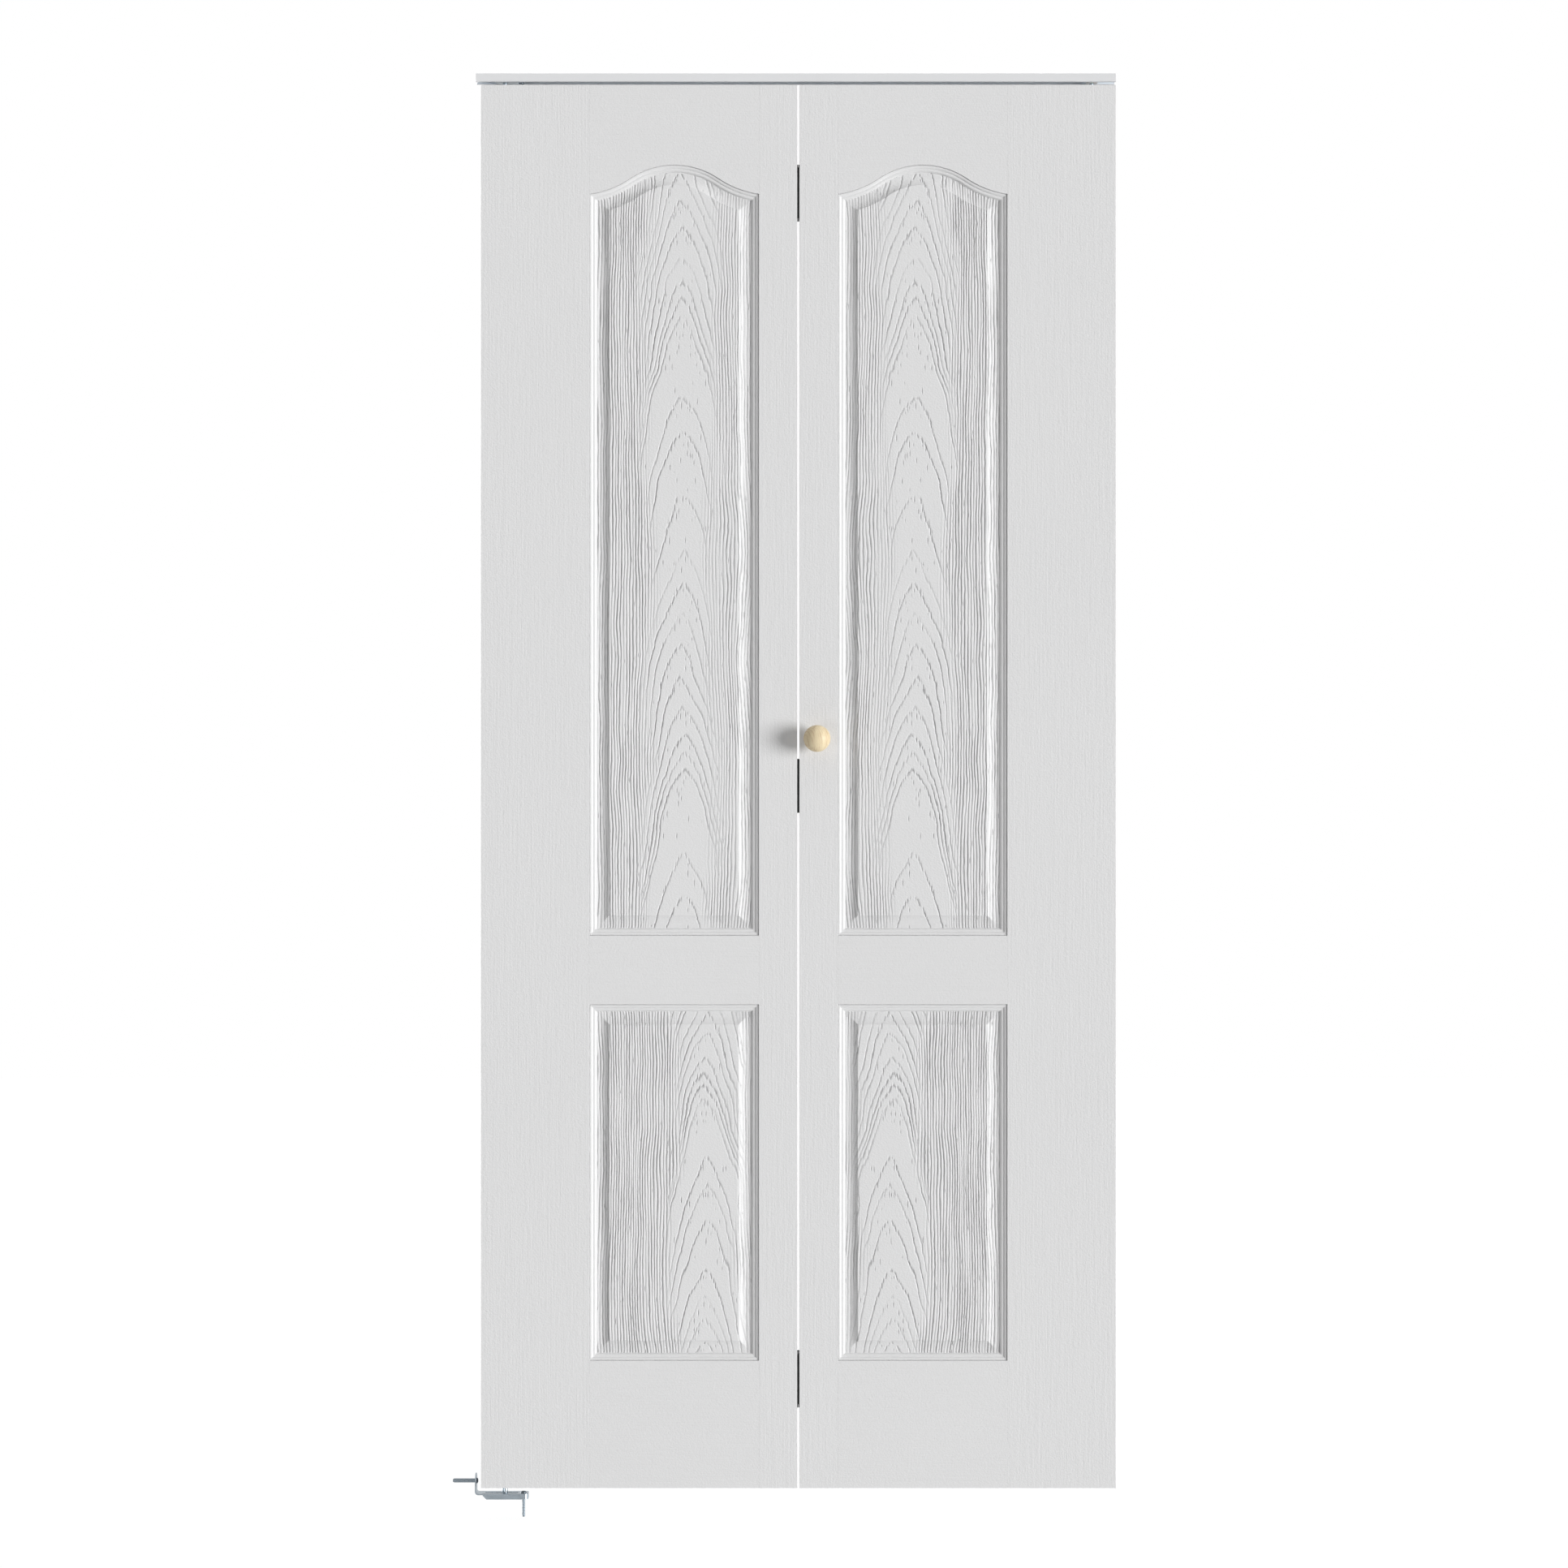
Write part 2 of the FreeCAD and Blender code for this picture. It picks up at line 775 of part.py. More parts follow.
def skirt():
    """The foot's turned-down edge along its front, right end and back."""
    top = foot_height - bracket_sheet
    outer = foot_outline(0.0, -skirt_left, 0.0).extrude(Vec(0, 0, top))
    inner = foot_outline(bracket_sheet, -skirt_left, 0.0).extrude(Vec(0, 0, top))
    wall = outer.cut(inner)
    start = Vec(-skirt_left, -bracket_width / 2, 0)
    corner = [start, start + Vec(skirt_chamfer, 0, 0), start + Vec(0, 0, skirt_chamfer)]
    return wall.cut(prism(corner, Vec(0, bracket_width, 0)))


def toothed_slot():
    """The slot in the foot, with notches that hold the pin's splined end."""
    z = foot_height - bracket_sheet
    rim = []
    for notch in range(-slot_notches_left, slot_notches_right + 1):
        x = notch * slot_pitch
        rim.append((x - slot_notch_width / 2, slot_root_half))
        rim.append((x + slot_notch_width / 2, slot_root_half))
        if notch < slot_notches_right:
            rim.append((x + (slot_pitch - slot_tip_width) / 2, slot_tip_half))
            rim.append((x + (slot_pitch + slot_tip_width) / 2, slot_tip_half))
    front = [Vec(x, -y, z) for x, y in rim]
    back = [Vec(x, y, z) for x, y in reversed(rim)]
    return prism(front + back, Vec(0, 0, bracket_sheet))


def floor_bracket():
    bracket = bracket_strip().fuse(skirt())
    jamb_hole = rod(
        jamb_screw_radius + screw_clearance,
        (jamb_face_x, 0, jamb_screw_height),
        RIGHT,
        bracket_sheet,
    )
    floor_hole = rod(floor_screw_radius + screw_clearance, (floor_screw_x, 0, 0), UP, foot_height)
    return bracket.cut([toothed_slot(), jamb_hole, floor_hole])


def splined_end(bottom, top):
    """The pin's lower end: teeth that drop between the notches of the slot."""
    corners = []
    tip_half = math.asin(spline_tip_width / 2 / spline_tip_radius)
    root_half = math.radians(spline_root_angle / 2)
    for tooth in range(spline_teeth):
        middle = math.pi / 2 + 2 * math.pi * tooth / spline_teeth
        for radius, turn in (
            (spline_root_radius, -root_half),
            (spline_tip_radius, -tip_half),
            (spline_tip_radius, tip_half),
            (spline_root_radius, root_half),
        ):
            angle = middle + turn
            corners.append(Vec(radius * math.cos(angle), radius * math.sin(angle), bottom))
    return prism(corners, Vec(0, 0, top - bottom))


def bottom_pin():
    """The pin's shoulder rests on the foot and its shank stands up into the leaf's sleeve."""
    length = leaf_bottom - foot_height + bottom_pin_engagement
    outline = [
        (0, 0),
        (bottom_pin_radius, 0),
        (bottom_pin_radius, length - plunger_chamfer),
        (bottom_pin_radius - plunger_chamfer, length),
        (0, length),
    ]
    shank = turned(outline, (0, 0, foot_height), UP)
    return shank.fuse(splined_end(foot_height - 2 * bracket_sheet, foot_height))


def domed_screw(radius, length, head_radius, head_height, point):
    """Outline of a round-head screw from the top of its head, with a point of this length."""
    return [
        (0, -head_height),
        (head_radius * dome_crown_share, -head_height),
        (head_radius * dome_shoulder_share, -head_height * dome_side_share),
        (head_radius, 0),
        (radius, 0),
        (radius, length - point),
        (radius * screw_tip_share, length),
        (0, length),
    ]


def jamb_screw():
    outline = domed_screw(
        jamb_screw_radius, jamb_screw_length, jamb_head_radius, jamb_head_height, jamb_screw_radius
    )
    return turned(outline, (jamb_face_x + bracket_sheet, 0, jamb_screw_height), LEFT)


def floor_screw():
    outline = domed_screw(
        floor_screw_radius,
        floor_screw_length,
        floor_head_radius,
        floor_head_height,
        floor_screw_radius,
    )
    return turned(outline, (floor_screw_x, 0, foot_height), DOWN)


# Knob

def knob():
    """Turned ball on a waisted neck, bored for its screw. The axis leaves the face squarely."""
    centre_h = knob_neck_height + math.sqrt(knob_radius ** 2 - knob_neck_radius ** 2)
    flat_h = centre_h + math.sqrt(knob_radius ** 2 - knob_flat_radius ** 2)
    waist_h = (knob_foot_height + knob_neck_height) / 2

    def at(radius, height):
        return Vec(radius, 0, height)

    foot_top = at(knob_foot_radius - knob_foot_taper, knob_foot_height)
    edges = [
        Part.makeLine(at(0, knob_screw_depth), at(knob_screw_radius, knob_screw_depth)),
        Part.makeLine(at(knob_screw_radius, knob_screw_depth), at(knob_screw_radius, 0)),
        Part.makeLine(at(knob_screw_radius, 0), at(knob_foot_radius, 0)),
        Part.makeLine(at(knob_foot_radius, 0), foot_top),
        Part.Arc(
            foot_top,
            at(knob_waist_radius, waist_h),
            at(knob_neck_radius, knob_neck_height),
        ).toShape(),
        Part.Arc(
            at(knob_neck_radius, knob_neck_height),
            at(knob_radius, centre_h),
            at(knob_flat_radius, flat_h),
        ).toShape(),
        Part.makeLine(at(knob_flat_radius, flat_h), at(0, flat_h)),
        Part.makeLine(at(0, flat_h), at(0, knob_screw_depth)),
    ]
    return turned(Part.Wire(edges), (knob_x, -half_thickness, knob_z), FRONT)


def knob_screw():
    length = leaf_thickness + knob_screw_depth - rest_clearance
    radius = knob_screw_radius - screw_clearance
    outline = domed_screw(radius, length, knob_screw_head_radius, knob_screw_head_height, radius)
    return turned(outline, (knob_x, half_thickness, knob_z), FRONT)


def knob_hole():
    radius = knob_screw_radius + screw_clearance
    return rod(radius, (knob_x, -half_thickness, knob_z), BACK, leaf_thickness)


# Assembly

def sleeve_bore(x, bottom):
    return rod(sleeve_radius, (x, 0, bottom), UP, sleeve_length)


def leaf_pieces(bores):
    """The frame, skins and core of a leaf in the pivot leaf's place."""
    skin = front_skin()
    return {
        "front_skin": skin,
        "back_skin": skin.mirror(Vec(0, 0, 0), BACK),
        "outer_stile": outer_stile().cut(bores),
        "hinge_stile": hinge_stile().cut(hinge_screws(screw_clearance)),
        "top_rail": rail(leaf_top - rail_height).cut(bores),
        "bottom_rail": rail(leaf_bottom).cut(bores),
        "core": paper_core(),
    }


def pivot_leaf():
    top_bore = sleeve_bore(0, leaf_top - sleeve_length)
    pieces = leaf_pieces([top_bore, sleeve_bore(0, leaf_bottom)])
    for piece, shape in pieces.items():
        export("pivot_leaf_" + piece, shape)
    export("top_pivot_sleeve", plunger_sleeve(0))
    export("top_pivot_spring", plunger_spring(0))
    export("bottom_pivot_sleeve", bottom_sleeve())
    export("pivot_leaf_hinge_screws", Part.makeCompound(hinge_screws()))
    for name, low in hinge_heights().items():
        export("hinge_" + name + "_pivot_plate", hinge_plate(low, 0))
        export("hinge_" + name + "_pin", hinge_pin(low))


def lead_leaf():
    pieces = leaf_pieces([sleeve_bore(0, leaf_top - sleeve_length)])
    for piece, shape in pieces.items():
        shape = mirrored(shape)
        if piece in ("front_skin", "back_skin", "hinge_stile"):
            shape = shape.cut(knob_hole())
        export("lead_leaf_" + piece, shape)
    export("guide_sleeve", plunger_sleeve(guide_x))
    export("guide_spring", plunger_spring(guide_x))
    export("lead_leaf_hinge_screws", mirrored(Part.makeCompound(hinge_screws())))
    for name, low in hinge_heights().items():
        export("hinge_" + name + "_lead_plate", mirrored(hinge_plate(low, 1)))
    export("knob", knob())
    export("knob_screw", knob_screw())


def fixed_hardware():
    export("track", track())
    export("top_pivot_bracket", top_bracket())
    export("top_bracket_screw", clamp_screw())
    export("floor_bracket", floor_bracket())
    export("bottom_pivot_pin", bottom_pin())
    export("jamb_screw", jamb_screw())
    export("floor_screw", floor_screw())


os.makedirs("parts", exist_ok=True)
fixed_hardware()
pivot_leaf()
lead_leaf()
export("top_pivot_pin", top_pivot_pin())
export("guide_pin", guide_pin())
export("guide_wheel", guide_wheel())
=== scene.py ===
import math
from collections import namedtuple

import bmesh
import bpy
import numpy as np
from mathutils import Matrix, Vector


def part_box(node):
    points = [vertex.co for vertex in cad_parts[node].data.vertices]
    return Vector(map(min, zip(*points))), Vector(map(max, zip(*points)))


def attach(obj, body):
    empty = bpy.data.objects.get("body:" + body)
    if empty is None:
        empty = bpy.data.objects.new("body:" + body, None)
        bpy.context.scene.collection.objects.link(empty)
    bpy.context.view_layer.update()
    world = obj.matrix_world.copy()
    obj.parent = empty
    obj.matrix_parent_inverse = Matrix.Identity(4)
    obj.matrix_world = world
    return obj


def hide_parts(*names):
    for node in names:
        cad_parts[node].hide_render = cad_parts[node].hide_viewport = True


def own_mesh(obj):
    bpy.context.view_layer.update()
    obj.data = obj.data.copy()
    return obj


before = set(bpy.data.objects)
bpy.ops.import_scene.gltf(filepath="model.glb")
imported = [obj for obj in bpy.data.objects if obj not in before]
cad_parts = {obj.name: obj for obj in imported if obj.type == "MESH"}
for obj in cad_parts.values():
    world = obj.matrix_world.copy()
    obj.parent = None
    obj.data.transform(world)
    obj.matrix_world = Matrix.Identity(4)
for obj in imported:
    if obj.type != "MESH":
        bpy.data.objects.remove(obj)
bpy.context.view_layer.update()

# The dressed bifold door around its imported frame. Sizes below are in millimetres, in the frame's
# own axes: X to the right, Y to the back, Z up, with the origin on the pivot axis at the floor.

MM = 0.001

# Camera: level, square to the door, at the distance that shows the track from below
camera_distance = 6000.0
camera_x = 398.2
camera_z = 1019.0
view_width = 2231.5
sensor = 36.0
camera_reach = 100000.0

# Light: a level key from the right, a weak fill from the left and below, a level light for the
# back, and a surround that brightens upwards and downwards, so that level edges keep their tone
key_level = 1.0
key_azimuth = 55.5
key_softness = 26.0
fill_level = 0.11
fill_azimuth = -30.0
fill_elevation = -10.0
fill_softness = 20.0
back_level = 0.7
back_azimuth = 215.0
overhead_level = 1.15
overhead_power = 2.0
front_shade = 0.5
front_shade_power = 3.0
floor_drop = 30.0
floor_reach = 9000.0
floor_tone = 0.1

# Panels, as in the solids
outer_face = 154.0
hinge_face = 54.5
bottom_face = 181.0
lower_panel_height = 507.5
lock_face = 97.5
crest_face = 113.5
arch_corner_slope = 8.0
arch_steepest_slope = 34.0
arch_shoulder_ratio = 1.2
skin_thickness = 3.2

# Moulding from the panel's outline inwards, finer than the solids': the quirk and the edge step are
# places (inset, depth), the beads and the cove are (width, height)
quirk = (0.8, 2.5)
edge_step = (1.1, 1.6)
outer_bead = (4.3, 2.3)
fillet_width = 1.2
inner_bead = (3.8, 3.1)
sunk_flat_width = 5.6
cove = (12.8, 5.4)
beads_end = edge_step[0] + outer_bead[0] + fillet_width + inner_bead[0]
beads_depth = edge_step[1] + outer_bead[1] + inner_bead[1]
back_cove_delay = 4.0
back_field_delay = 1.2

# Fineness of the moulded panels
bead_steps = 7
bead_power = 3.0
flat_steps = 6
cove_steps = 14
front_columns = 360
back_columns = 180
column_share = 12
front_row = 2.2
back_row = 4.4
row_share = 12
crease_angle = 42.0

# Embossed wood grain: the axis of its pointed arches, how far below the panel's top the first one
# peaks, and the gaps between peaks down the panel, beyond which they are drawn at random
grain_axis = {"upper": 252.0, "lower": 288.0}
first_apex = 12.0
apex_gaps = {
    "upper": (40, 38, 43, 35, 22, 26, 115, 50, 90, 78, 46, 43, 45, 46, 43, 40, 26, 24, 118, 61),
    "lower": (28, 37, 22, 16, 20, 82, 40, 50, 71, 37, 32, 34, 44, 90),
}
grain_seed = 7
drawn_gap = 44.0
drawn_gap_shares = (0.6, 1.4)
rising_rings = 26
falling_rings = 4
crest_slope = 0.8
arm_bend = 0.095
groove_half_width = 1.25
left_groove_depth = 1.45
right_groove_depth = 1.0
depth_change = (-45.0, 15.0)

# Waves of noise that bend the lines: (reach, width, height, seed)
axis_wave = (5.0, 1.0, 120.0, 11)
arch_waves = ((4.6, 34.0, 58.0, 12), (1.5, 10.0, 22.0, 13))
arch_ragged = (0.7, 2.6, 8.0, 14)
band_wave = (0.7, 30.0, 40.0, 15)
side_waves = ((6.5, 70.0, 150.0, 21), (1.6, 16.0, 48.0, 22))
side_ragged = (0.45, 2.4, 9.0, 23)
side_edge_wave = (15.0, 24.0, 70.0, 41)

# Steps in the arches' flanks, in upright bands, stronger near the axis
band_width = 4.2
step_height = (8.0, 3.0)
step_offset = 40.0
step_seeds = (16, 17)
step_hold = (0.30, 0.25)
axis_zone = (8.0, 34.0)
line_thinning = (0.95, 0.15)

# How strongly lines are pressed: mean, spread and least, the length over which it changes, and the
# step in the noise from line to line
line_press = (0.78, 0.5, 0.15)
line_press_length = 70.0
line_press_step = 5.37
arch_press_seed = 18
side_press_seed = 24

# Straight grain beside the arches: its pitch, and where it starts and is alone
side_pitch = 4.2
side_start = 30.0
side_full = 60.0

# Pores, one in a cell: place and half length as shares of it, and chances, which grow close below
# a peak and in the straight grain
pore_column = 3.2
pore_row = 13.0
pore_shift = 0.3
pore_half_length = (0.30, 0.14)
pore_half_width = 0.85
pore_end = 3.0
pore_strength = 0.8
pore_seeds = (31, 32, 33, 34)
crowd_reach = (10.0, 30.0)
crowd_below = (0.12, 0.5)
pore_chances = (0.03, 0.34, 0.05)

# Where the grain fades out at the beads, and the painted shade in the quirk
grain_margin = (-0.1, 0.9)
quirk_painted_shade = 0.3
quirk_shade_width = 0.6

# Knob, as in the solids, with its front rounded off
knob_radius = 19.05
knob_front_rise = 17.6
knob_foot = (10.5, 3.0, 1.2)
knob_waist_radius = 6.5
knob_neck = (7.6, 9.0)
knob_foot_bevel = (0.1, 0.8)
knob_bore = (2.0, 18.0)
hole_clearance = 0.05
hole_steps = 24
waist_rings = 11
ball_rings = 60
ring_spacing = 3.1
ring_normal = (0.90, 0.38, 0.16)
ring_warp = 11.0

# Screws: shank radius, head radius, head height, pitch and depth of the thread
screw_sizes = {
    "jamb_screw": (3.0, 4.1, 2.2, 1.6, 0.14),
    "floor_screw": (2.1, 4.0, 2.2, 1.3, 0.12),
    "knob_screw": (1.95, 4.0, 2.3, 1.0, 0.25),
}
screw_tip_share = 0.6
screw_taper = 0.6
crown_share = 0.6
crown_rings = 14
shoulder_share = 0.9
side_share = 0.6
head_edge = 0.3
head_rings = crown_rings + 4
recess_depth = 1.1
recess_arm = (0.55, 2.1)
recess_walls = (0.25, 0.4)
recess_fall = 1.2
thread_flank = (2.6, 0.3)
thread_rings = 8
turn_steps = 48

# Coil springs of the plungers
spring_wire = 0.8
spring_pitch = 2.2
spring_end_pitch = 0.84
coil_steps = 36
wire_steps = 10


def hashed(ix, iz, seed):
    """A steady number from -1 to 1 for each point of a lattice."""
    mask = 0xFFFFFFFF
    value = (ix * 374761393 + iz * 668265263 + seed * 974711) & mask
    value = ((value ^ (value >> 13)) * 1274126177) & mask
    value = value ^ (value >> 16)
    return (value & 0xFFFF) / 32767.5 - 1.0


def noise(x, z, seed):
    """Smooth noise from -1 to 1 with features about one unit across."""
    ix = np.floor(x).astype(np.int64)
    iz = np.floor(z).astype(np.int64)
    fx = x - ix
    fz = z - iz
    fx = fx * fx * (3 - 2 * fx)
    fz = fz * fz * (3 - 2 * fz)
    low = hashed(ix, iz, seed) * (1 - fx) + hashed(ix + 1, iz, seed) * fx
    high = hashed(ix, iz + 1, seed) * (1 - fx) + hashed(ix + 1, iz + 1, seed) * fx
    return low * (1 - fz) + high * fz


def wave(x, z, reach, width, height, seed):
    """Smooth noise up to reach, with features about width by height."""
    return reach * noise(x / width, z / height, seed)


def smooth(value, start, end):
    """0 before start, 1 after end, eased between."""
    share = np.clip((value - start) / (end - start), 0.0, 1.0)
    return share * share * (3 - 2 * share)


class Panel(namedtuple("Panel", "name left right bottom top arched")):
    """A moulded panel's outline in the pivot leaf's place, from its bottom to its top."""

    def top_at(self, x, inset):
        """Height of the outline's top edge at x, moved inwards by inset."""
        if not self.arched:
            return np.full_like(x, self.top - inset)
        half = (self.right - self.left) / 2
        steep = math.radians(arch_steepest_slope)
        corner = math.radians(arch_corner_slope)
        hollow = math.sin(steep) - math.sin(corner)
        crest = half / (math.sin(steep) + arch_shoulder_ratio * hollow)
        shoulder = arch_shoulder_ratio * crest
        crest_z = self.top - crest
        centre_x = (crest + shoulder) * math.sin(steep)
        centre_z = crest_z + (crest + shoulder) * math.cos(steep)
        from_middle = np.abs(x - (self.left + self.right) / 2)
        on_crest = crest_z + np.sqrt(np.maximum((crest - inset) ** 2 - from_middle ** 2, 0.0))
        beyond = np.minimum(centre_x - from_middle, shoulder + inset)
        on_shoulder = centre_z - np.sqrt((shoulder + inset) ** 2 - beyond ** 2)
        return np.where(from_middle < (crest - inset) * math.sin(steep), on_crest, on_shoulder)


def bead(start, width, drop):
    """Levels down a rounded bead that starts flat and ends steep."""
    inset, depth = start
    shares = [step / bead_steps for step in range(1, bead_steps + 1)]
    return [(inset + width * share, depth + drop * share ** bead_power) for share in shares]


def profile():
    """The moulding's (inset, depth) from the face inwards to the raised field."""
    levels = [(0.0, 0.0), quirk, edge_step]
    levels += bead(levels[-1], *outer_bead)
    levels.append((levels[-1][0] + fillet_width, levels[-1][1]))
    levels += bead(levels[-1], *inner_bead)
    inset, depth = levels[-1]
    for step in range(1, flat_steps + 1):
        levels.append((inset + sunk_flat_width * step / flat_steps, depth))
    inset, depth = levels[-1]
    width, rise = cove
    total = 2 * math.atan2(rise, width)
    radius = width / math.sin(total)
    for step in range(1, cove_steps + 1):
        turn = total * step / cove_steps
        levels.append((inset + radius * math.sin(turn), depth - radius * (1 - math.cos(turn))))
    return levels


def back_profile():
    """The back of the moulded sheet, from its outline to the back of the field."""
    field_start = beads_end + sunk_flat_width + cove[0]
    return [
        (0.0, skin_thickness),
        (beads_end, beads_depth + skin_thickness),
        (beads_end + sunk_flat_width + back_cove_delay, beads_depth + skin_thickness),
        (field_start + back_field_delay, beads_depth - cove[1] + skin_thickness),
    ]


def outline_loop(panel, inset, nx, nz):
    """Points round a panel: along its bottom, up its right side, back along its top and down."""
    left = panel.left + inset
    right = panel.right - inset
    bottom = panel.bottom + inset
    across = np.linspace(left, right, nx + 1)
    top = panel.top_at(across, inset)
    up = np.linspace(0.0, 1.0, nz + 1)
    x = np.concatenate([across[:-1], np.full(nz, right), across[:0:-1], np.full(nz, left)])
    z = np.concatenate([
        np.full(nx, bottom),
        bottom + (top[-1] - bottom) * up[:-1],
        top[:0:-1],
        bottom + (top[0] - bottom) * up[:0:-1],
    ])
    return x, z


def sheet(panel, levels, nx, nz):
    """Points (x, z, inset, depth) and faces of one side of a moulded sheet."""
    count = 2 * (nx + nz)
    parts = []
    for inset, depth in levels:
        x, z = outline_loop(panel, inset, nx, nz)
        parts.append((x, z, np.full(count, inset), np.full(count, depth)))
    across = np.linspace(panel.left + inset, panel.right - inset, nx + 1)[1:-1]
    bottom = panel.bottom + inset
    up = np.linspace(0.0, 1.0, nz + 1)[1:-1]
    x, share = np.meshgrid(across, up, indexing="ij")
    z = bottom + (panel.top_at(x, inset) - bottom) * share
    parts.append((x.ravel(), z.ravel(), np.full(x.size, inset), np.full(x.size, depth)))

    faces = []
    around = np.arange(count)
    after = (around + 1) % count
    for level in range(len(levels) - 1):
        outer = level * count
        inner = outer + count
        faces.append(np.stack([outer + around, outer + after, inner + after, inner + around], 1))
    ring = (len(levels) - 1) * count
    index = np.zeros((nx + 1, nz + 1), dtype=np.int64)
    index[:nx, 0] = ring + np.arange(nx)
    index[nx, :nz] = ring + nx + np.arange(nz)
    index[nx - np.arange(nx), nz] = ring + nx + nz + np.arange(nx)
    index[0, nz - np.arange(nz)] = ring + 2 * nx + nz + np.arange(nz)
    inner_count = (nx - 1) * (nz - 1)
    index[1:nx, 1:nz] = (ring + count + np.arange(inner_count)).reshape(nx - 1, nz - 1)
    quads = np.stack([index[:-1, :-1], index[1:, :-1], index[1:, 1:], index[:-1, 1:]], -1)
    faces.append(quads.reshape(-1, 4))
    return [np.concatenate(part) for part in zip(*parts)], np.concatenate(faces)


# Grain

def apex_heights(panel):
    """Heights at which the grain's arches peak, from below the panel to far above it."""
    draw = np.random.default_rng(grain_seed)
    heights = [panel.top - first_apex]
    for gap in apex_gaps[panel.name]:
        heights.append(heights[-1] - gap)
    for _ in range(falling_rings):
        heights.append(heights[-1] - drawn_gap * draw.uniform(*drawn_gap_shares))
    above = heights[0]
    for _ in range(rising_rings):
        above += drawn_gap * draw.uniform(*drawn_gap_shares)
        heights.append(above)
    return np.sort(np.array(heights))


def arm(reach):
    """How far below its peak an arch lies at a distance from the axis, and its slope there."""
    return crest_slope * reach + arm_bend * reach ** 2 / 2, crest_slope + arm_bend * reach


def pressed_line(distance, half_width):
    """The cross section of a grain line: a plain V."""
    return np.clip(1.0 - distance / half_width, 0.0, 1.0)


def line_strength(index, z, seed):
    """How strongly each grain line is pressed along its length."""
    mean, spread, least = line_press
    change = noise(index * line_press_step, z / line_press_length, seed)
    return np.clip(mean + spread * change, least, 1.0)


def stepped(x, z):
    """Heights rounded to steps that differ from band to band."""
    band = np.floor(x / band_width + wave(x, z, *band_wave)).astype(np.int64)
    step = step_height[0] + step_height[1] * hashed(band, 0, step_seeds[0])
    offset = step_offset * hashed(band, 1, step_seeds[1])
    return (np.floor((z + offset) / step) + 0.5) * step - offset


def arch_lines(panel, x, z, side):
    """Grooves of the pointed arches."""
    axis = grain_axis[panel.name] + wave(np.full_like(z, 0.5), z, *axis_wave)
    wander = wave(x, z, *arch_waves[0]) + wave(x, z, *arch_waves[1])
    ragged = wave(x, z, *arch_ragged)
    near_axis = 1.0 - smooth(np.abs(x - axis), *axis_zone)
    hold = step_hold[0] + step_hold[1] * near_axis
    height = z * (1 - hold) + stepped(x, z) * hold
    fall, slope = arm(np.abs(x - axis + wander + ragged))
    apexes = apex_heights(panel)
    phase = np.interp(height + fall, apexes, np.arange(len(apexes)))
    gap = np.diff(apexes)[np.clip(np.floor(phase).astype(int), 0, len(apexes) - 2)]
    nearest = np.round(phase)
    distance = np.abs(phase - nearest) * gap / np.sqrt(1 + slope ** 2)
    strength = line_strength(nearest, z, arch_press_seed)
    half_width = groove_half_width * (line_thinning[0] - line_thinning[1] * near_axis)
    return pressed_line(distance, half_width) * strength * (1 - side)


def side_lines(x, z, side):
    """Grooves of the straight grain beside the arches."""
    sway = wave(x, z, *side_waves[0]) + wave(x, z, *side_waves[1])
    ragged = wave(x, z, *side_ragged)
    phase = (x + sway + ragged) / side_pitch
    nearest = np.round(phase)
    distance = np.abs(phase - nearest) * side_pitch
    strength = line_strength(nearest, z, side_press_seed)
    return pressed_line(distance, groove_half_width) * strength * side


def pores(panel, x, z, side):
    """Short upright dashes, thickest where the arches peak."""
    slide_seed, place_seed, length_seed, chance_seed = pore_seeds
    column = np.floor(x / pore_column)
    cell = column.astype(np.int64)
    slide = pore_row * hashed(cell, 0, slide_seed)
    row = np.floor((z + slide) / pore_row)
    level = row.astype(np.int64)
    middle_x = (column + 0.5 + pore_shift * hashed(cell, level, place_seed)) * pore_column
    middle_z = (row + 0.5) * pore_row - slide
    half = pore_row * (pore_half_length[0] + pore_half_length[1] * hashed(cell, level, length_seed))
    apexes = apex_heights(panel)
    reach = np.abs(x - grain_axis[panel.name])
    phase = np.interp(z + arm(reach)[0], apexes, np.arange(len(apexes)))
    below = np.ceil(phase) - phase
    crowded = (1 - smooth(reach, *crowd_reach)) * (1 - smooth(below, *crowd_below))
    anywhere, in_crowd, in_side = pore_chances
    chance = anywhere + in_crowd * crowded + in_side * side
    present = (hashed(cell, level, chance_seed) + 1) / 2 < chance
    across = smooth(pore_half_width - np.abs(x - middle_x), 0.0, pore_half_width)
    along = smooth(half - np.abs(z - middle_z), 0.0, pore_end)
    return across * along * present * pore_strength


def grain(panel, x, z, inset):
    """How much the primer is darkened at each point, from 0 to 1, as painted shade in the pressed
    grain and the quirk, and how deep the grain is pressed there.
    """
    reach = x - grain_axis[panel.name]
    side = smooth(np.abs(reach) + wave(x, z, *side_edge_wave), side_start, side_full)
    pressed = np.maximum(arch_lines(panel, x, z, side), side_lines(x, z, side))
    pressed = np.maximum(pressed, pores(panel, x, z, side))
    pressed = pressed * smooth(inset, beads_end + grain_margin[0], beads_end + grain_margin[1])
    across = smooth(reach, *depth_change)
    depth = left_groove_depth + (right_groove_depth - left_groove_depth) * across
    # Painted shade: the primer is darkened in the quirk at the panel's outline
    quirk_shade = 1.0 - smooth(np.abs(inset - quirk[0]), 0.0, quirk_shade_width)
    return np.maximum(pressed, quirk_painted_shade * quirk_shade), pressed * depth


# Materials

